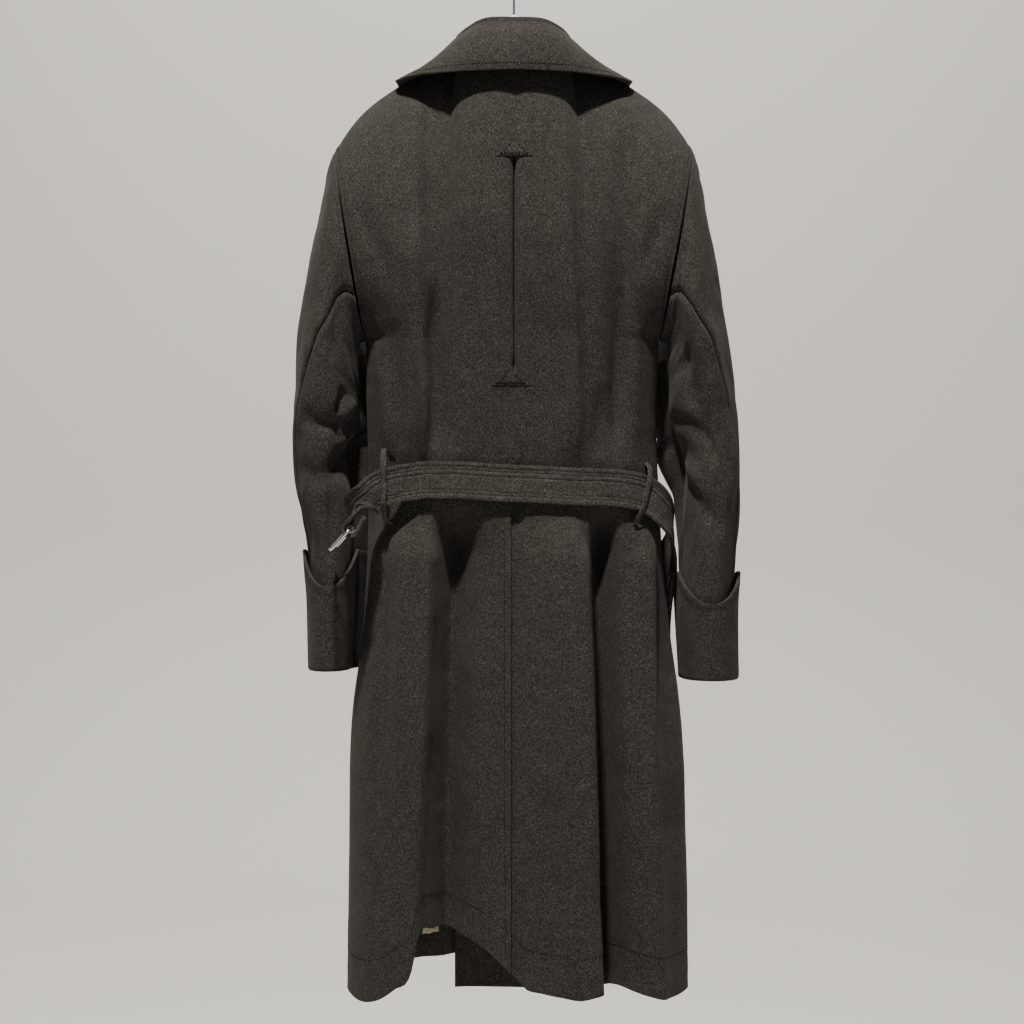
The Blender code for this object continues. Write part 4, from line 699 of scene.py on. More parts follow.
RIGHT_SLEEVE = (
    ARMHOLE[1], Ring(0.237, -0.29, 0.1935, -0.5035, 0.075, 0.003),
    Ring(0.248, -0.346, 0.196, -0.518, 0.078, 0.022), Ring(0.26, -0.414, 0.195, -0.54, 0.079, 0.044),
    Ring(0.27, -0.475, 0.196, -0.565, 0.078, 0.054), Ring(0.281, -0.55, 0.2, -0.605, 0.075, 0.062),
    Ring(0.288, -0.625, 0.217, -0.65, 0.071, 0.085), Ring(0.288, -0.7, 0.217, -0.705, 0.068, 0.04),
    Ring(0.283, -0.775, 0.2165, -0.777, 0.066, 0.018), Ring(0.28, -0.85, 0.2155, -0.85, 0.064, 0.012),
    Ring(0.283, -0.924, 0.217, -0.924, 0.064, 0.01),
)
SLEEVE_ROWS = 190
SLEEVE_SIDES = 2 * ARM_ROWS
# The top sleeve's two seams, a third and seven ninths of the way round.
TOP_SLEEVE_FROM = SLEEVE_SIDES // 3
TOP_SLEEVE_TO = SLEEVE_SIDES * 7 // 9
# Creases of a sleeve: points of share along it and of turn round it (0.25 the back, 0.5 the outside).
LEFT_ARM_CREASES = (
    Crease(((0.43, 0.13), (0.47, 0.15), (0.51, 0.17)), 0.007, -0.011),
    Crease(((0.44, 0.08), (0.5, 0.11), (0.56, 0.13)), 0.01, 0.005),
    Crease(((0.06, 0.17), (0.2, 0.2), (0.34, 0.19), (0.48, 0.16)), 0.022, -0.0068),
    Crease(((0.48, 0.02), (0.53, 0.14), (0.56, 0.24), (0.57, 0.34)), 0.014, -0.0078),
    Crease(((0.52, 0.0), (0.58, 0.1), (0.62, 0.2)), 0.014, 0.0061),
    Crease(((0.6, 0.02), (0.65, 0.14), (0.67, 0.26), (0.66, 0.38)), 0.014, -0.0068),
    Crease(((0.4, 0.36), (0.5, 0.32), (0.6, 0.36)), 0.018, 0.0041),
    Crease(((0.3, 0.3), (0.42, 0.28), (0.54, 0.3)), 0.02, 0.0037),
    Crease(((0.66, 0.16), (0.74, 0.2), (0.84, 0.22)), 0.016, -0.0051),
    Crease(((0.04, 0.42), (0.14, 0.44), (0.26, 0.44)), 0.02, -0.0034),
    Crease(((0.46, 0.7), (0.54, 0.84), (0.58, 0.98)), 0.016, -0.0061),
    Crease(((0.56, 0.66), (0.64, 0.8), (0.68, 0.94)), 0.016, -0.0054),
)
RIGHT_ARM_CREASES = (
    Crease(((0.08, 0.13), (0.22, 0.12), (0.36, 0.15), (0.5, 0.2), (0.62, 0.24)), 0.022, -0.0102),
    Crease(((0.1, 0.24), (0.26, 0.24), (0.42, 0.28), (0.56, 0.32)), 0.024, 0.0058),
    Crease(((0.48, 0.02), (0.52, 0.12), (0.58, 0.2), (0.64, 0.24)), 0.014, -0.0068),
    Crease(((0.6, 0.04), (0.66, 0.14), (0.72, 0.2)), 0.014, 0.0058),
    Crease(((0.66, 0.08), (0.72, 0.2), (0.76, 0.3)), 0.014, -0.0058),
    Crease(((0.3, 0.4), (0.44, 0.42), (0.6, 0.42), (0.74, 0.4)), 0.02, -0.0037),
    Crease(((0.54, 0.34), (0.62, 0.36), (0.72, 0.34)), 0.016, 0.0044),
    Crease(((0.46, 0.7), (0.54, 0.84), (0.58, 0.98)), 0.016, -0.0061),
    Crease(((0.58, 0.66), (0.66, 0.8), (0.7, 0.94)), 0.016, -0.0054),
)
SLEEVE_LENGTH = 0.66
# The back seam leaves the armhole low at the back and runs out to the elbow: turns in degrees.
SEAM_PLACES = np.array([0.0, 0.15, 0.3, 0.48, 0.62, 1.0])
SEAM_TURNS = np.array([-62.0, -48.0, -26.0, 4.0, 24.0, 28.0])
SLEEVE_ROUND = 0.44


def sleeve_grid(rings, side, creases, seed):
    """Whole sleeve as one grid of rings, pushed out by its creases and a soft swell.

    The creases are laid out flat, as metres along the sleeve and metres round it, and fade
    at the armhole; the ridge of each seam is drawn in a little.
    """
    at = np.linspace(0.0, 1.0, SLEEVE_ROWS + 1)
    turned = np.radians(hermite(at, SEAM_PLACES, SEAM_TURNS))
    grid = ring_points(rings, side, at, SLEEVE_SIDES, turned)
    normals = -side * grid_normals(grid, wraps=True)
    column = np.arange(SLEEVE_SIDES)[None, :] / SLEEVE_SIDES
    turn = (column + turned[:, None] / (2 * np.pi)) % 1.0 * SLEEVE_ROUND
    along = at[:, None] * SLEEVE_LENGTH + 0 * turn
    flat = tuple(Crease([(t * SLEEVE_ROUND, a * SLEEVE_LENGTH) for a, t in c.points], c.width, c.height)
                 for c in creases)
    height = crease_height(flat, turn, along, seed)
    phase = turn / SLEEVE_ROUND * 2 * np.pi
    wave, rise = np.cos(phase), np.sin(phase)
    height = height + 0.0016 * soft_noise(8 + 3.0 * wave, along / 0.05 + 2 * rise, seed + 5)
    height = height + 0.0006 * soft_noise(30 + 6.0 * wave, along / 0.021 + 4 * rise, seed + 6)
    height = height * smoothstep(at / 0.06)[:, None]
    # each seam is a fine groove between two low welts
    for seam in (TOP_SLEEVE_FROM, TOP_SLEEVE_TO):
        near = (column - seam / SLEEVE_SIDES) * SLEEVE_ROUND
        drawn = -0.003 * bell(near, 0.0026) + 0.0009 * bell(np.abs(near) - 0.007, 0.004)
        height = height + drawn * smoothstep(at / 0.02)[:, None]
    # the sleeve head, drawn in where it's sewn to the body
    height = height - 0.002 * bell(along, 0.0035)
    return grid + normals * height[..., None]


sleeves = {}
for word, side, rings, creases in (("left", -1, LEFT_SLEEVE, LEFT_ARM_CREASES),
                                   ("right", 1, RIGHT_SLEEVE, RIGHT_ARM_CREASES)):
    grid = sleeve_grid(rings, side, creases, 50 + side)
    sleeves[word] = grid
    top = np.arange(TOP_SLEEVE_FROM, TOP_SLEEVE_TO + 1)
    under = np.arange(TOP_SLEEVE_TO, TOP_SLEEVE_FROM + SLEEVE_SIDES + 1) % SLEEVE_SIDES
    for part, columns, width in (("top", top, 0.19), ("under", under, 0.24)):
        piece = sheet_mesh(f"sleeve_{part}_{word}_cloth", grid[:, columns], wool, flip=side > 0)
        thicken(piece, CLOTH, 0)
        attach(piece, "coat")
        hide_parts(f"sleeve_{part}_{word}")

# Turned-back cuffs
# A deep band of the same wool, doubled and turned up round each sleeve's end, with a dipped
# upper rim whose two cloths show as a rolled edge.
DOUBLE_CLOTH = 0.0038
Cuff = namedtuple("Cuff", "word side rings z_low z_rim back_dip front_dip")
CUFFS = (Cuff("left", -1, LEFT_SLEEVE, -0.918, -0.768, 0.046, 0.02),
         Cuff("right", 1, RIGHT_SLEEVE, -0.93, -0.796, 0.04, 0.018))
CUFF_ROWS = 40
CUFF_TABLE = 600
CUFF_CORNER = 0.0012
CUFF_FLARE = 0.0035
cuffs = {}
for cuff in CUFFS:
    phi = np.linspace(0.0, 2.0 * np.pi, SLEEVE_SIDES, endpoint=False)
    dip = np.where(np.sin(phi) > 0, cuff.back_dip, cuff.front_dip) * np.abs(np.sin(phi)) ** 1.5
    share = np.linspace(0.0, 1.0, CUFF_ROWS + 1)[:, None]
    z = cuff.z_low + (cuff.z_rim - dip - cuff.z_low) * share
    knots = np.linspace(0.0, 1.0, len(cuff.rings))
    place = np.interp(-z, [-r.outer_z for r in cuff.rings], knots)
    table = ring_points(cuff.rings, cuff.side, np.linspace(0.0, 1.0, CUFF_TABLE), SLEEVE_SIDES)
    column = np.arange(SLEEVE_SIDES)[None, :] + 0 * z.astype(int)
    grid = table[np.rint(place * (CUFF_TABLE - 1)).astype(int), column]
    grid[..., 2] = z
    flat = cuff.side * grid_normals(grid, wraps=True)
    flat[..., 2] = 0.0
    flat = unit(flat)
    swell = 0.0013 * soft_noise(9 + 2.6 * np.cos(phi)[None, :], z / 0.045 + 2 * np.sin(phi), 71)
    stand = DOUBLE_CLOTH + 0.0006 + CUFF_FLARE * share + swell * smoothstep((1 - share) / 0.2) * share
    grid = grid + flat * stand[..., None]
    # two more rings take the low edge in under the sleeve's end, over a rounded corner
    turned_in = grid[:1] - flat[:1] * (DOUBLE_CLOTH + CLOTH)
    corner = grid[:1] - flat[:1] * CUFF_CORNER
    for low_ring in (turned_in, corner):
        low_ring[..., 2] -= 0.0008
    grid = np.concatenate([turned_in, corner, grid + np.array([0.0, 0.0, 0.0016])])
    cuffs[cuff.word] = grid
    piece = thicken(sheet_mesh("turned_cuff_" + cuff.word, grid, wool, wraps=True, flip=cuff.side < 0),
                    DOUBLE_CLOTH, 0.0012)
    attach(piece, "coat")
    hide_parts("cuff_" + cuff.word)

# Collar
# A stand and a wide fall of the same wool, faced with itself, turned over along the stand's
# top; the fall stands off the back, and its edge is rolled and topstitched.
Station = namedtuple("Station", "roll_x roll_y roll_z edge_x edge_y edge_z belly")
COLLAR = (
    Station(0.0, -0.062, -0.097, 0.0, -0.09, -0.168, 0.007),
    Station(0.034, -0.058, -0.0976, 0.062, -0.078, -0.168, 0.006),
    Station(0.055, -0.04, -0.104, 0.118, -0.048, -0.167, 0.0),
    Station(0.068, -0.014, -0.1105, 0.148, -0.024, -0.1705, -0.002),
    Station(0.073, 0.014, -0.1215, 0.15, 0.004, -0.169, 0.001),
    Station(0.067, 0.044, -0.1395, 0.138, 0.066, -0.1875, 0.003),
    Station(0.042, 0.066, -0.161, 0.104, 0.104, -0.2345, 0.004),
    Station(0.012, 0.076, -0.174, 0.062, 0.116, -0.274, 0.004),
)
COLLAR_COLUMNS = 210
COLLAR_THICK = 0.0036
COLLAR_STAND_ROWS = 11
COLLAR_ROLL_ROWS = 13
COLLAR_FALL_ROWS = 34
COLLAR_SPLIT = 8
ROLL_RADIUS = 0.006
turn = np.linspace(-1.0, 1.0, COLLAR_COLUMNS + 1)
mirror = np.where(turn < 0, -1.0, 1.0)
knots = np.linspace(0.0, 1.0, len(COLLAR))
roll = hermite(np.abs(turn), knots, [s[0:3] for s in COLLAR])
edge = hermite(np.abs(turn), knots, [s[3:6] for s in COLLAR])
belly = hermite(np.abs(turn), knots, [s.belly for s in COLLAR])[:, None]
roll[:, 0] *= mirror
edge[:, 0] *= mirror
# the stand's foot follows the neck seam, half a millimetre over it, and stops short in front
foot = neckline(turn * np.pi * 0.985)
foot[:, 2] += 0.0005
out = edge - roll
out[:, 2] = 0.0
out = unit(out)
up = np.array([0.0, 0.0, 1.0])
inside = roll - out * ROLL_RADIUS - up * ROLL_RADIUS
stand_rows = [foot + (inside - foot) * share for share in np.linspace(0.0, 1.0, COLLAR_STAND_ROWS + 1)[:-1]]
arc = np.pi * np.linspace(0.0, 1.0, COLLAR_ROLL_ROWS)
roll_rows = [roll - out * ROLL_RADIUS * np.cos(a) + up * ROLL_RADIUS * (np.sin(a) - 1.0) for a in arc]
start = roll_rows[-1]
fall_rows = [start + (edge - start) * share + (out + up) * belly * np.sin(np.pi * share)
             for share in np.linspace(0.0, 1.0, COLLAR_FALL_ROWS + 1)[1:]]
grid = np.array(stand_rows + roll_rows + fall_rows)
normals = -grid_normals(grid)
row = np.arange(len(grid))[:, None]
# only the fall waves, from a few rows past the roll
fallen = smoothstep((row - 14) / 10.0)
swell = 0.0016 * soft_noise(20 + turn[None, :] * 7.0, row / 13.0, 83)
swell = swell + 0.0005 * soft_noise(40 + turn[None, :] * 22.0, row / 7.0, 84)
grid = grid + normals * (swell * fallen)[..., None]
collar = grid
for part, rows, size in (("stand", grid[:COLLAR_SPLIT + 1], (0.42, 0.035)),
                         ("fall", grid[COLLAR_SPLIT:], (0.62, 0.12))):
    piece = thicken(sheet_mesh(f"collar_{part}_cloth", rows, wool, flip=True), COLLAR_THICK, 0.0016)
    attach(piece, "coat")
    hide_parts("collar_" + part)

# Stitched triangles over the pleat's ends
# Small doubled triangles of the same wool, sewn flat over the top and the bottom of the
# pleat and topstitched round, so that it can't tear open.
Tack = namedtuple("Tack", "name x apex_z base_z half_width")
PLEAT_TACKS = (Tack("upper", 0.0, -0.2557, -0.2757, 0.024), Tack("lower", -0.004, -0.5432, -0.5606, 0.025))
tack_paths = []
for tack in PLEAT_TACKS:
    # the pleat is bridged between its two sides, and the triangle lies on whichever stands out
    down = np.linspace(0.0, 1.0, 19)[:, None]
    across = np.linspace(-1.0, 1.0, 37)[None, :]
    x = tack.x + tack.half_width * np.maximum(down, 0.03) * across
    z = tack.apex_z + (tack.base_z - tack.apex_z) * down + 0.0 * across
    left = read_across(backs["left"], np.minimum(x, -0.014), z)
    right = read_across(backs["right"], np.maximum(x, 0.014), z)
    share = np.clip((x + 0.014) / 0.028, 0.0, 1.0)
    under = left * (1 - share) + right * share
    bare = np.where(x < 0, read_across(backs["left"], np.minimum(x, -0.0006), z),
                    read_across(backs["right"], np.maximum(x, 0.0006), z))
    under = np.minimum(under, bare)
    rim = np.minimum((1 - np.abs(across)) * down * tack.half_width, np.minimum(1 - down, down) * 0.02)
    puff = 0.0011 * smoothstep(rim / 0.0035) - 0.0009 * bell(rim - 0.003, 0.0012)
    grid = np.stack([x, under - 0.0008 - puff, z], axis=-1)
    tack_paths.append([grid[4:17, 3], grid[4:17, 33][::-1], grid[16, 3:34]])
    piece = thicken(sheet_mesh("pleat_triangle_" + tack.name, grid, wool, flip=True), 0.001, 0)
    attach(piece, "coat")
    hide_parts("pleat_tack_" + tack.name)

# Loose belt
# A long strap of the same wool, doubled and filled, quilted along by five rows of stitches
# whose welts stand up between them. It's turned round the buckle's bar and sewn there, runs
# through both loops, and its pointed end hangs down inside the sleeve.
BELT_WIDTH = 0.045
BELT_THICK = 0.0038
BeltPoint = namedtuple("BeltPoint", "angle z lift")
BELT = (
    BeltPoint(-36, -0.68, 0.0016), BeltPoint(-30, -0.6785, 0.0012), BeltPoint(-15, -0.679, 0.0012),
    BeltPoint(3, -0.684, 0.0016), BeltPoint(30, -0.6875, 0.0012), BeltPoint(55, -0.696, 0.002),
    BeltPoint(72, -0.717, 0.005), BeltPoint(90, -0.745, 0.008), BeltPoint(106, -0.785, 0.007),
    BeltPoint(117, -0.85, 0.008), BeltPoint(122, -0.94, 0.01), BeltPoint(124, -1.06, 0.01),
    BeltPoint(125, -1.2, 0.01),
)
BELT_STEPS = 46
BELT_FINE = 6
BELT_TWIST = 2.4
BELT_SAG = ((-0.188, -0.093, -0.709), (-0.172, -0.081, -0.693), (-0.152, -0.074, -0.685))
BUCKLE_BAR = np.array([-0.202, -0.101, -0.74])
BUCKLE_TILT = np.radians(42)
BUCKLE_DOWN = np.array([-np.sin(BUCKLE_TILT), 0.0, -np.cos(BUCKLE_TILT)])
BUCKLE_OUT = np.array([-np.cos(BUCKLE_TILT), 0.0, np.sin(BUCKLE_TILT)])
BELT_END_ROUND = 0.0062
PRONG_SLOT = 0.008
SLOT_STEPS = (2, 15)
BELT_COLUMNS = 45
# Distance of each stitch row below the belt's top edge, and of each eyelet along its back.
STITCH_ROWS = (0.005, 0.0096, 0.0154, 0.0348, 0.039)
EYELETS = ((0.008, 0.0212), (0.061, 0.0212), (0.113, 0.0205), (0.163, 0.0205), (0.206, 0.019))


def even_path(points, count):
    """Evenly spaced points of a smooth curve through a few given ones."""
    points = np.asarray(points, float)
    chord = run_length(points)
    fine = hermite(np.linspace(0.0, chord[-1], 12 * count), chord, points)
    length = run_length(fine)
    even = np.linspace(0.0, length[-1], count + 1)
    return read_line(even, length, fine)


def upright_folds(folds):
    """The same folds without their lean, as the solids have them."""
    return tuple(fold._replace(lean=0.0) for fold in folds)


def off_coat(angle, z, lift):
    """Belt's outer face at an angle and height, and the way out of the coat there.

    The belt stands on whichever of its top, middle and bottom lines the coat pushes out most.
    """
    back, front = upright_folds(BACK_FOLDS), upright_folds(FRONT_FOLDS)
    tangent = body_point(angle + 0.03, z, back, front) - body_point(angle - 0.03, z, back, front)
    outward = unit(np.stack([tangent[:, 1], -tangent[:, 0], np.zeros(len(angle))], axis=-1))
    middle = body_point(angle, z, back, front)
    reach = np.zeros(len(angle))
    for offset in (-0.5, -0.25, 0.25, 0.5):
        edge = body_point(angle, z + offset * BELT_WIDTH, back, front)
        reach = np.maximum(reach, np.sum((edge - middle) * outward, axis=-1))
    return middle + outward * (reach + lift + BELT_THICK)[:, None], outward


# the strap's path: its end turned round the bar, then hanging free, then worn round the coat
turned = [BUCKLE_BAR - BUCKLE_DOWN * back - BUCKLE_OUT * stand
          for back, stand in ((0.024, 0.0016), (0.016, 0.0022), (0.008, 0.0046))]
for swing in np.pi * np.linspace(0.0, 1.0, 9):
    turned.append(BUCKLE_BAR + (-BUCKLE_OUT * np.cos(swing) + BUCKLE_DOWN * np.sin(swing)) * BELT_END_ROUND)
turned = np.array(turned)
station = np.linspace(0.0, 1.0, BELT_STEPS + 1)
knots = np.linspace(0.0, 1.0, len(BELT))
worn, outward = off_coat(np.radians(hermite(station, knots, [p.angle for p in BELT])),
                         hermite(station, knots, [p.z for p in BELT]),
                         hermite(station, knots, [p.lift for p in BELT]))
free = even_path([turned[-1], turned[-1] - BUCKLE_DOWN * 0.01, *BELT_SAG, worn[0]], 14)[1:-1]
share = smoothstep(np.linspace(0.0, BELT_TWIST, len(free)))[:, None]
coarse = np.concatenate([turned, free, worn])
side = np.concatenate([np.repeat([[0.0, 1.0, 0.0]], len(turned), axis=0),
                       np.array([0.0, 1.0, 0.0]) * (1 - share) + np.array([0.0, 0.0, 1.0]) * share,
                       np.cross(outward, np.gradient(worn, axis=0))])
steps = np.arange(len(coarse), dtype=float)
fine = np.linspace(0.0, len(coarse) - 1.0, (len(coarse) - 1) * BELT_FINE + 1)
path = hermite(fine, steps, coarse)
along = unit(np.gradient(path, axis=0))
side = hermite(fine, steps, unit(side))
side = unit(side - np.sum(side * along, axis=-1, keepdims=True) * along)
normal = np.cross(along, side)
length = run_length(path)
centre_length = np.interp(0.0, path[(len(turned) + len(free)) * BELT_FINE:, 0],
                          length[(len(turned) + len(free)) * BELT_FINE:])
# the hanging end is cut to a point, and no narrower than a twentieth
point = np.clip((length[-1] - length) / 0.034, 0.05, 1.0) ** 0.75
across = np.linspace(-0.5, 0.5, BELT_COLUMNS + 1)
from_top = (0.5 - across) * BELT_WIDTH
quilt = sum(-0.0011 * bell(from_top - row, 0.00085) for row in STITCH_ROWS)
quilt = quilt + sum(0.0005 * bell(from_top - rim, 0.0016) for rim in (0.0022, 0.043))
uneven = 0.0005 * soft_noise(length[:, None] / 0.016, from_top[None, :] / 0.01, 95)
sway = 0.0011 * soft_noise(length[:, None] / 0.06, 0 * from_top[None, :], 96)
belt_grid = (path[:, None] + side[:, None] * (across[None, :, None] * BELT_WIDTH * point[:, None, None])
             + normal[:, None] * (quilt[None, :] + uneven)[..., None] + side[:, None] * sway[..., None])
row_index = np.arange(len(path) - 1)
near_bar = (row_index > SLOT_STEPS[0] * BELT_FINE) & (row_index < SLOT_STEPS[1] * BELT_FINE)
in_slot = np.abs((across[:-1] + across[1:]) / 2 * BELT_WIDTH) < PRONG_SLOT / 2
kept = ~(near_bar[:, None] & in_slot[None, :])
belt_wool = wool_melton("wool_melton_strap", "#191715", "#2d2a27", "#4c4843", 0.9)
piece = thicken(sheet_mesh("quilted_belt", belt_grid, belt_wool, keep=kept), BELT_THICK, 0.0013)
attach(piece, "coat")
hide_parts("belt")

# Belt loops
# Narrow tubes of the same wool, turned right side out and sewn into the side seams at both
# ends; the left one bows out under the belt's weight and the right one leans over it.
LOOP_WIDTH = 0.007
LOOP_THICK = 0.002
BELT_LOOPS = (
    ("left", ((-50, -0.654, 0.0014), (-50, -0.644, 0.012), (-49, -0.639, 0.026), (-48, -0.655, 0.039),
              (-48, -0.685, 0.042), (-48, -0.712, 0.042), (-49, -0.729, 0.022),
              (-50, -0.735, 0.0018))),
    ("right", ((62, -0.656, 0.0018), (62, -0.662, 0.008), (60, -0.672, 0.013), (56, -0.696, 0.015),
               (52, -0.72, 0.013), (50, -0.73, 0.008), (50, -0.734, 0.0022))),
)
for word, points in BELT_LOOPS:
    angles, z, proud = (np.array(column, float) for column in zip(*points))
    angles = np.radians(angles)
    outward = off_coat(angles, z, np.zeros(len(z)))[1]
    base = body_point(angles, z, upright_folds(BACK_FOLDS), upright_folds(FRONT_FOLDS))
    path = even_path(base + outward * proud[:, None], 90)
    along = unit(np.gradient(path, axis=0))
    side = np.cross([0.0, 0.0, 1.0], outward[len(outward) // 2])
    side = unit(side - np.sum(side * along, axis=-1, keepdims=True) * along)
    normal = np.cross(along, side)
    round_ = np.linspace(0.0, 2.0 * np.pi, 20, endpoint=False)
    wide = signed_power(np.sin(round_), 0.7) * LOOP_WIDTH / 2
    deep = signed_power(np.cos(round_), 0.8) * LOOP_THICK / 2
    swell = 1.0 + 0.1 * soft_noise(np.linspace(0, 9, len(path)), 0.5, 97)[:, None, None]
    grid = (path - normal * LOOP_THICK / 2)[:, None] + (side[:, None] * wide[None, :, None]
                                                       + normal[:, None] * deep[None, :, None]) * swell
    piece = sheet_mesh("belt_loop_" + word + "_cloth", grid, belt_wool, wraps=True, flip=True, caps=True)
    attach(piece, "coat")
    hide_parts("belt_loop_" + word)

# Topstitching and eyelets
# Dark polyester thread in short sunk stitches along the belt, collar, cuffs, vent, armholes
# and hem, drawn thicker on the backs and the pleat's triangles so that its dark line is partly
# painted shade of the stitch grooves; and five small whipped eyelets in the belt, each with
# a near-black disc in its hole as painted shade.
STITCH = 0.003
PITCH = 0.0044
THREAD = 0.0003
Seam = namedtuple("Seam", "points normals")
thread = new_material("polyester_thread_dark", Base_Color=linear("#0c0b0a"), Roughness=0.9,
                      Specular_IOR_Level=0.1)[0]


def seam_on(grid, rows, columns, facing):
    """A stitch line over a grid, with the cloth's outward direction all along it."""
    return Seam(along_grid(grid, rows, columns), along_grid(facing * grid_normals(grid), rows, columns))


def offset_column(grid, row_list, distance, way):
    """Column place at a real distance in from a grid's first or last column, for each row."""
    places = []
    for r in row_list:
        line = grid[int(round(r))]
        line = line if way > 0 else line[::-1]
        run = run_length(line[:60])
        place = np.interp(distance, run, np.arange(len(run)))
        places.append(place if way > 0 else grid.shape[1] - 1 - place)
    return np.array(places)


def add_stitches(name, seams, size=1.0):
    """Short capsules of thread end to end along lines: five-sided rings that close at both ends."""
    vertices, faces = [], []
    sides = 5
    phi = np.linspace(0.0, 2.0 * np.pi, sides, endpoint=False)
    ends = np.array([-0.5, -0.36, 0.0, 0.36, 0.5])
    thick = np.array([0.25, 0.9, 1.15, 0.9, 0.25])
    sink = np.array([-0.9, -0.1, 0.55, -0.1, -0.9])
    base = 0
    for seam in seams:
        run = run_length(seam.points)
        count = int(run[-1] / PITCH)
        if count < 1:
            continue
        at = (np.arange(count) + 0.5) * run[-1] / count
        middle = read_line(at, run, seam.points)
        way = unit(read_line(at + 0.001, run, seam.points) - read_line(at - 0.001, run, seam.points))
        out = unit(read_line(at, run, seam.normals))
        cross = unit(np.cross(way, out))
        out = np.cross(cross, way)
        ring = (cross[:, None, None] * np.sin(phi)[None, None, :, None]
                + out[:, None, None] * np.cos(phi)[None, None, :, None])
        ring = ring * (thick * THREAD * size)[None, :, None, None]
        spine = (middle[:, None] + way[:, None] * (ends * STITCH)[None, :, None]
                 + out[:, None] * (sink * THREAD * 0.6)[None, :, None])
        points = spine[:, :, None] + ring
        vertices.append(points.reshape(-1, 3))
        j = np.arange(sides)
        quads = [np.stack([r * sides + j, r * sides + (j + 1) % sides, (r + 1) * sides + (j + 1) % sides,
                           (r + 1) * sides + j], axis=-1) for r in range(len(ends) - 1)]
        quads = np.concatenate(quads)[None] + (base + np.arange(count) * sides * len(ends))[:, None, None]
        faces += quads.reshape(-1, 4).tolist()
        first = base + np.arange(count) * sides * len(ends)
        faces += (first[:, None] + j[::-1]).tolist()
        faces += (first[:, None] + sides * (len(ends) - 1) + j).tolist()
        base += count * sides * len(ends)
    piece = mesh_piece(name, np.concatenate(vertices), faces, thread, True)
    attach(piece, "coat")


belt_rows = np.arange(12 * BELT_FINE, len(fine) - 10, 1.0)
add_stitches("belt_stitches", [seam_on(belt_grid, belt_rows, BELT_COLUMNS * (1 - row / BELT_WIDTH), 1.0)
                               for row in STITCH_ROWS])
# near-black colour: painted shade for the dark inside of each eyelet's hole
painted_eyelet_shade = new_material("painted_shade_in_eyelet", Base_Color=linear("#050505"), Roughness=0.9)[0]
for number, (from_centre, below_top) in enumerate(EYELETS, start=1):
    row = np.interp(centre_length + from_centre, length, np.arange(len(length)))
    column = BELT_COLUMNS * (1 - below_top / BELT_WIDTH)
    place = seam_on(belt_grid, np.array([row, row + 1]), np.full(2, column), 1.0)
    out = unit(place.normals[0])
    way = unit(place.points[1] - place.points[0])
    cross = np.cross(way, out)
    phi = np.linspace(0.0, 2.0 * np.pi, 24, endpoint=False)[:, None]
    tube = np.linspace(0.0, 2.0 * np.pi, 8, endpoint=False)[None, :]
    whip = 1.0 + 0.12 * np.cos(12 * phi)
    reach = 0.0021 + 0.0007 * whip * np.cos(tube)
    grid = (place.points[0] + way * (reach * np.cos(phi))[..., None]
            + cross * (reach * np.sin(phi))[..., None]
            + out * (0.0003 + 0.0006 * whip * np.sin(tube))[..., None])
    ring = sheet_mesh(f"eyelet_{number}", np.concatenate([grid, grid[:1]]), thread, wraps=True)
    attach(ring, "coat")
    # a flat near-black disc fills the hole: painted shade in place of the hole's depth
    radius = np.array([0.0, 0.0017])[:, None]
    disc = (place.points[0] + way * (radius * np.cos(phi.T))[..., None]
            + cross * (radius * np.sin(phi.T))[..., None] + out * 0.0001)
    hole = sheet_mesh(f"eyelet_hole_painted_shade_{number}", disc, painted_eyelet_shade, wraps=True)
    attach(hole, "coat")
for word, side in (("left", -1), ("right", 1)):
    grid = backs[word]
    rows_up = np.arange(BODY_ROWS + 1, grid.shape[0] - 1, 1.0)
    seams = [seam_on(grid, rows_up, offset_column(grid, rows_up, 0.01, -1), side)]
    # the left back's free edge, from the hem to the vent's top
    low = np.arange(4.0, BODY_ROWS * 0.72, 1.0)
    if side < 0:
        seams.append(seam_on(grid, low, offset_column(grid, low, 0.009, 1), side))
    hem_columns = np.arange(1.0, grid.shape[1] - 1, 1.0)
    seams.append(seam_on(grid, np.full(len(hem_columns), 12.0), hem_columns, side))
    # thread drawn at one and a half times its size: real dark thread, partly painted shade of the grooves it
    # sinks into
    add_stitches("back_stitches_" + word, seams, 1.5)
    front = fronts[word]
    hem_columns = np.arange(1.0, front.shape[1] - 1, 1.0)
    edge_rows = np.arange(3.0, front.shape[0] - 4, 1.0)
    seams = [seam_on(front, np.full(len(hem_columns), 12.0), hem_columns, -side),
             seam_on(front, edge_rows, offset_column(front, edge_rows, 0.009, 1), -side),
             seam_on(front, rows_up, offset_column(front, rows_up, 0.01, -1), -side)]
    add_stitches("front_stitches_" + word, seams)
    cuff_grid = np.concatenate([cuffs[word], cuffs[word][:, :1]], axis=1)
    turn_columns = np.arange(0.0, cuff_grid.shape[1] - 1, 0.5)
    seams = [seam_on(cuff_grid, np.full(len(turn_columns), len(cuff_grid) - 1 - inboard), turn_columns, side)
             for inboard in (2.2, 3.8)]
    add_stitches("cuff_stitches_" + word, seams)
fall = collar[COLLAR_SPLIT:]
fall_columns = np.arange(1.5, fall.shape[1] - 2.5, 0.5)
end_rows = np.arange(8.0, fall.shape[0] - 2, 0.5)
add_stitches("collar_stitches", [
    seam_on(fall, np.full(len(fall_columns), fall.shape[0] - 4.2), fall_columns, -1.0),
    seam_on(fall, end_rows, np.full(len(end_rows), 2.0), -1.0),
    seam_on(fall, end_rows, np.full(len(end_rows), fall.shape[1] - 3.0), -1.0)], 1.6)
tack_seams = []
for lines in tack_paths:
    for line, lift in zip(lines, (0.0009, 0.0009, 0.0001)):
        facing = np.repeat([[0.0, -1.0, 0.0]], len(line), axis=0)
        tack_seams.append(Seam(line + facing * lift, facing))
# thread drawn at over twice its size: real dark thread, partly painted shade of the stitch grooves round the
# triangles
add_stitches("pleat_triangle_stitches", tack_seams, 2.2)

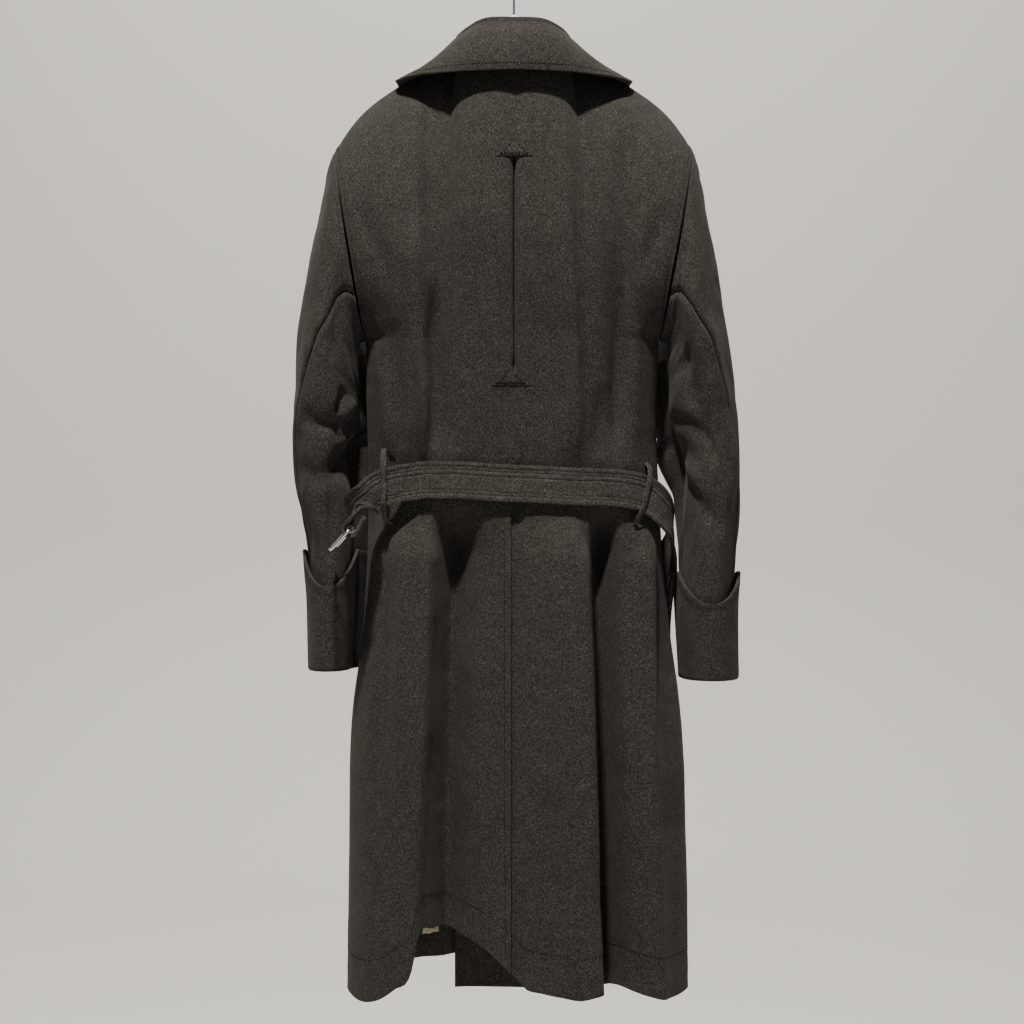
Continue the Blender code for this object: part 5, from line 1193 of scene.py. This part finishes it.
# Belt buckle
# A single-prong buckle of bent nickel-plated steel wire, polished and a little scuffed: a
# rounded frame and a prong curled round the same bar, in the belt's turned end.
plated, tree, surface = new_material("nickel_plated_wire_polished", Base_Color=linear("#d9d6d0"),
                                     Metallic=1.0)
place = node(tree, "ShaderNodeTexCoord").outputs["Object"]
scuff = node(tree, "ShaderNodeTexNoise", {"Scale": 900.0, "Detail": 3.0}, Vector=place)
tree.links.new(spread(tree, scuff.outputs["Fac"], 0.35, 0.7, 0.1, 0.26), surface.inputs["Roughness"])
relief(tree, surface, scuff.outputs["Fac"], 0.12, 0.0002)
BUCKLE_LENGTH = 0.034
BUCKLE_WIDTH = 0.054
BUCKLE_WIRE = 0.0019
BUCKLE_CORNER = 0.006
PRONG_WIRE = 0.0013


def wire_grid(points, radius, closed, sides=14):
    """A round wire: rings square to the path, each turned from the last by the least angle.

    The first ring's way out is any square to the path; each next one is the last with the
    part along the new path taken away.
    """
    points = np.asarray(points, float)
    if closed:
        tangent = unit(np.roll(points, -1, axis=0) - np.roll(points, 1, axis=0))
    else:
        tangent = unit(np.gradient(points, axis=0))
    guess = np.cross(tangent[0], [0.3, 0.5, 0.81])
    outs = []
    for way in tangent:
        guess = unit(guess - way * np.dot(guess, way))
        outs.append(guess)
    outs = np.array(outs)
    cross = np.cross(tangent, outs)
    phi = np.linspace(0.0, 2.0 * np.pi, sides, endpoint=False)
    radius = np.broadcast_to(np.asarray(radius, float), (len(points),))
    grid = points[:, None] + (outs[:, None] * np.cos(phi)[None, :, None]
                              + cross[:, None] * np.sin(phi)[None, :, None]) * radius[:, None, None]
    return np.concatenate([grid, grid[:1]]) if closed else grid


corner_turns = np.linspace(0.0, 90.0, 9)
frame_line = []
for side_y, middle, first in ((1, BUCKLE_CORNER, 0), (1, BUCKLE_LENGTH - BUCKLE_CORNER, 90),
                              (-1, BUCKLE_LENGTH - BUCKLE_CORNER, 180), (-1, BUCKLE_CORNER, 270)):
    swing = np.radians(first + corner_turns)
    y = side_y * (BUCKLE_WIDTH / 2 - BUCKLE_CORNER) + BUCKLE_CORNER * np.sin(swing)
    d = middle - BUCKLE_CORNER * np.cos(swing)
    frame_line.append(BUCKLE_BAR + np.array([0.0, 1.0, 0.0]) * y[:, None] + BUCKLE_DOWN * d[:, None])
frame_line = np.concatenate(frame_line)
piece = sheet_mesh("buckle_frame_wire", wire_grid(frame_line, BUCKLE_WIRE, True)[:-1], plated, wraps=True,
                   loops=True, outward=True)
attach(piece, "buckle")
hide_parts("buckle_frame")
eye = BUCKLE_WIRE + PRONG_WIRE + 0.00035
swing = np.radians(np.linspace(265, 1, 30))
curl = (BUCKLE_BAR + BUCKLE_OUT * eye * np.cos(swing)[:, None] - BUCKLE_DOWN * eye * np.sin(swing)[:, None])
reach = np.linspace(0.0, BUCKLE_LENGTH + BUCKLE_WIRE + 0.001, 24)[1:]
straight = BUCKLE_BAR + BUCKLE_OUT * eye + BUCKLE_DOWN * reach[:, None]
prong_line = np.concatenate([curl, straight])
# the prong's tip is drawn down to a little over half
taper = np.concatenate([np.full(len(curl) + 14, PRONG_WIRE), PRONG_WIRE * np.linspace(1.0, 0.62, 9)])
piece = sheet_mesh("buckle_prong_wire", wire_grid(prong_line, taper, False), plated, wraps=True, caps=True,
                   outward=True)
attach(piece, "prong")
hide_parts("buckle_prong")

# Front buttons
# Six four-hole horn buttons, turned with a raised rim and polished, sewn on with dark
# thread that crosses between the holes over a short shank.
BUTTON_ROWS_Z = (-0.35, -0.47, -0.59)
BUTTON_X = 0.052
BUTTON_HOLE = 0.0016
horn, tree, surface = new_material("turned_horn_polished", Roughness=0.28, Coat_Weight=0.3,
                                   Coat_Roughness=0.15)
place = node(tree, "ShaderNodeTexCoord").outputs["Object"]
stretched = node(tree, "ShaderNodeMapping", {"Scale": (1.0, 0.4, 0.35)}, Vector=place)
grain = node(tree, "ShaderNodeTexNoise", {"Scale": 260.0, "Detail": 4.0, "Distortion": 0.8},
             Vector=stretched.outputs[0])
tree.links.new(shades(tree, grain.outputs["Fac"], ((0.38, "#15100c"), (0.72, "#4a3524"))),
               surface.inputs["Base Color"])
profile = ((0.0002, 0.0036), (0.006, 0.0036), (0.0074, 0.0039), (0.0086, 0.0048), (0.0098, 0.0052),
           (0.011, 0.005), (0.0118, 0.0044), (0.012, 0.0036), (0.0114, 0.0026), (0.01, 0.002),
           (0.006, 0.0018), (0.0002, 0.0018))
line = hermite(np.linspace(0, len(profile) - 1, 46), np.arange(len(profile)), profile)
for row_name, x in (("edge", BUTTON_X), ("inner", -BUTTON_X)):
    for number, z in enumerate(BUTTON_ROWS_Z, start=1):
        base_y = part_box(f"button_{row_name}_{number}")[0][1]
        phi = np.linspace(0.0, 2.0 * np.pi, 44, endpoint=False)
        radius, height = line[:, :1], line[:, 1:]
        grid = np.stack([x + radius * np.cos(phi), base_y + height + 0 * phi, z + radius * np.sin(phi)],
                        axis=-1)
        disc = sheet_mesh(f"horn_button_{row_name}_{number}", grid, horn, wraps=True, caps=True, outward=True)
        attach(disc, "coat")
        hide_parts(f"button_{row_name}_{number}")
        shank_line = np.linspace((x, base_y - 0.0004, z), (x, base_y + 0.0022, z), 6)
        shank = sheet_mesh(f"button_shank_{row_name}_{number}", wire_grid(shank_line, 0.0022, False, 10),
                           thread, wraps=True, caps=True, outward=True)
        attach(shank, "coat")
        # two strands cross over the button, each from a hole to the one opposite
        t = np.linspace(0.0, 1.0, 9)
        for count, turn in enumerate((-1.0, 1.0), start=1):
            hole = np.array([-BUTTON_HOLE, 0.0, BUTTON_HOLE * turn])
            strand = np.array([x, base_y + 0.0037, z]) + hole * (1.0 - 2.0 * t)[:, None]
            strand[:, 1] += 0.0006 * np.sin(np.pi * t)
            cross_thread = sheet_mesh(f"button_thread_{row_name}_{number}_{count}",
                                      wire_grid(strand, 0.00045, False, 8), thread, wraps=True, caps=True,
                                      outward=True)
            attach(cross_thread, "coat")

# Tape at the hem
# A scrap of pale twill cotton tape, stitched inside the left back's hem and hanging just
# below it where the hem is lifted.
twill, tree, surface = new_material("cotton_twill_tape", Roughness=0.85)
place = node(tree, "ShaderNodeTexCoord").outputs["Object"]
tilted = node(tree, "ShaderNodeMapping", {"Rotation": (0.0, 0.8, 0.0)}, Vector=place)
rib = node(tree, "ShaderNodeTexWave", {"Scale": 180.0, "Distortion": 0.6}, Vector=tilted.outputs[0])
spots = node(tree, "ShaderNodeTexNoise", {"Scale": 120.0, "Detail": 3.0}, Vector=place)
tree.links.new(shades(tree, spots.outputs["Fac"], ((0.0, "#6f6a57"), (1.0, "#a79f86"))),
               surface.inputs["Base Color"])
relief(tree, surface, rib.outputs["Fac"], 0.4, 0.0002)
hem = backs["left"][0]
hem_x = np.linspace(-0.114, -0.095, 12)
order = np.argsort(hem[:, 0])
hem_line = np.stack([hem_x] + [np.interp(hem_x, hem[order, 0], hem[order, axis]) for axis in (1, 2)], axis=-1)
drop = np.linspace(0.012, -0.0065, 10)[:, None]
tape_grid = hem_line + np.array([0.0, CLOTH + 0.0012, 0.0]) + drop[..., None] * np.array([0.0, 0.0, 1.0])
tape_grid[..., 2] += 0.0012 * np.sin(hem_x * 420.0)
piece = thicken(sheet_mesh("twill_tape", tape_grid, twill), 0.0006, 0)
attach(piece, "coat")
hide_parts("hem_tape")

# Hanger
# A moulded white plastic suit hanger inside the shoulders, with a screwed-in hook of bright
# plated wire that carries the whole coat.
moulded, tree, surface = new_material("polystyrene_moulded_white", Roughness=0.38)
place = node(tree, "ShaderNodeTexCoord").outputs["Object"]
grain = node(tree, "ShaderNodeTexNoise", {"Scale": 300.0, "Detail": 3.0}, Vector=place)
tree.links.new(shades(tree, grain.outputs["Fac"], ((0.0, "#dcdcd8"), (1.0, "#f2f2ef"))),
               surface.inputs["Base Color"])
relief(tree, surface, grain.outputs["Fac"], 0.08, 0.0003)
bpy.data.objects["hanger_body"].material_slots[0].material = moulded
HOOK_RADIUS = 0.02
HANGER_WIRE = 0.0016
bright, tree, surface = new_material("plated_steel_wire_bright", Base_Color=linear("#cfcfcd"),
                                     Metallic=1.0)
place = node(tree, "ShaderNodeTexCoord").outputs["Object"]
drawn = node(tree, "ShaderNodeTexNoise", {"Scale": 700.0, "Detail": 2.0}, Vector=place)
tree.links.new(spread(tree, drawn.outputs["Fac"], 0.3, 0.7, 0.14, 0.28), surface.inputs["Roughness"])
stem = [(0.0, 0.0, -0.0827), (0.0, 0.0, -0.066), (0.0, 0.0, -0.054), (0.0022, 0.0, -0.0455)]
arc = np.radians(np.arange(-55, 196, 25))
round_part = [(HOOK_RADIUS * np.cos(a), 0.0, HANGER_WIRE + HOOK_RADIUS * (np.sin(a) - 1.0)) for a in arc]
hook_line = even_path(stem + round_part, 90)
piece = sheet_mesh("hook_wire", wire_grid(hook_line, HANGER_WIRE, False, 14), bright, wraps=True, caps=True,
                   outward=True)
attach(piece, "coat")
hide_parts("hanger_hook")

# Floor, light and camera
# A plain pale floor that sweeps up far behind, a small steep lamp over the camera that draws
# the folds, a wide weak one beside it, one over the sweep and a pale surround; the camera
# sees the coat's back as the photograph does.
bend = np.linspace(0.05, 1.0, 24) * np.pi / 2
floor_y = np.concatenate([np.linspace(-6.0, 3.2, 30), 3.2 + np.sin(bend), np.full(12, 4.2)])
floor_z = np.concatenate([np.full(30, -1.75), -0.75 - np.cos(bend), np.linspace(-0.6, 3.0, 12)])
floor_x = np.linspace(-6.0, 6.0, 3)
floor_grid = np.stack([floor_x[None, :] + 0 * floor_y[:, None], floor_y[:, None] + 0 * floor_x[None, :],
                       floor_z[:, None] + 0 * floor_x[None, :]], axis=-1)
pale = new_material("pale_paper_sweep", Base_Color=linear("#dcdad5"), Roughness=0.9)[0]
floor = sheet_mesh("floor", floor_grid, pale)

world = bpy.data.worlds.new("soft_surround")
bpy.context.scene.world = world
world.use_nodes = True
world.node_tree.nodes["Background"].inputs["Color"].default_value = linear("#f4f5f7")
world.node_tree.nodes["Background"].inputs["Strength"].default_value = 0.17


def lamp(name, place, aim, size, power, colour="#ffffff"):
    """A square soft lamp at a place, turned so that its minus Z looks at aim."""
    data = bpy.data.lights.new(name, "AREA")
    data.shape = "SQUARE"
    data.size = size
    data.energy = power
    data.color = linear(colour)[:3]
    item = bpy.data.objects.new(name, data)
    item.location = place
    away = (np.array(place) - np.array(aim)).tolist()
    item.rotation_euler = mathutils.Vector(away).to_track_quat("Z", "Y").to_euler()
    bpy.context.scene.collection.objects.link(item)


lamp("key", (-0.3, -1.6, 2.8), (0.0, 0.0, -0.62), 0.24, 360.0, "#fffaf4")
lamp("fill", (1.4, -2.8, 0.2), (0.0, 0.0, -0.7), 1.8, 5.0, "#f4f8ff")
lamp("backdrop", (0.0, 2.9, 3.4), (0.0, 4.4, -0.5), 2.2, 120.0, "#fbf8f4")

camera = bpy.data.cameras.new("photo_view")
camera.angle = np.radians(24.66)
camera.clip_start = 0.05
view = bpy.data.objects.new("photo_view", camera)
view.location = (-0.0026, -3.0, -0.7186)
view.rotation_euler = (np.pi / 2, 0.0, 0.0)
bpy.context.scene.collection.objects.link(view)
bpy.context.scene.camera = view
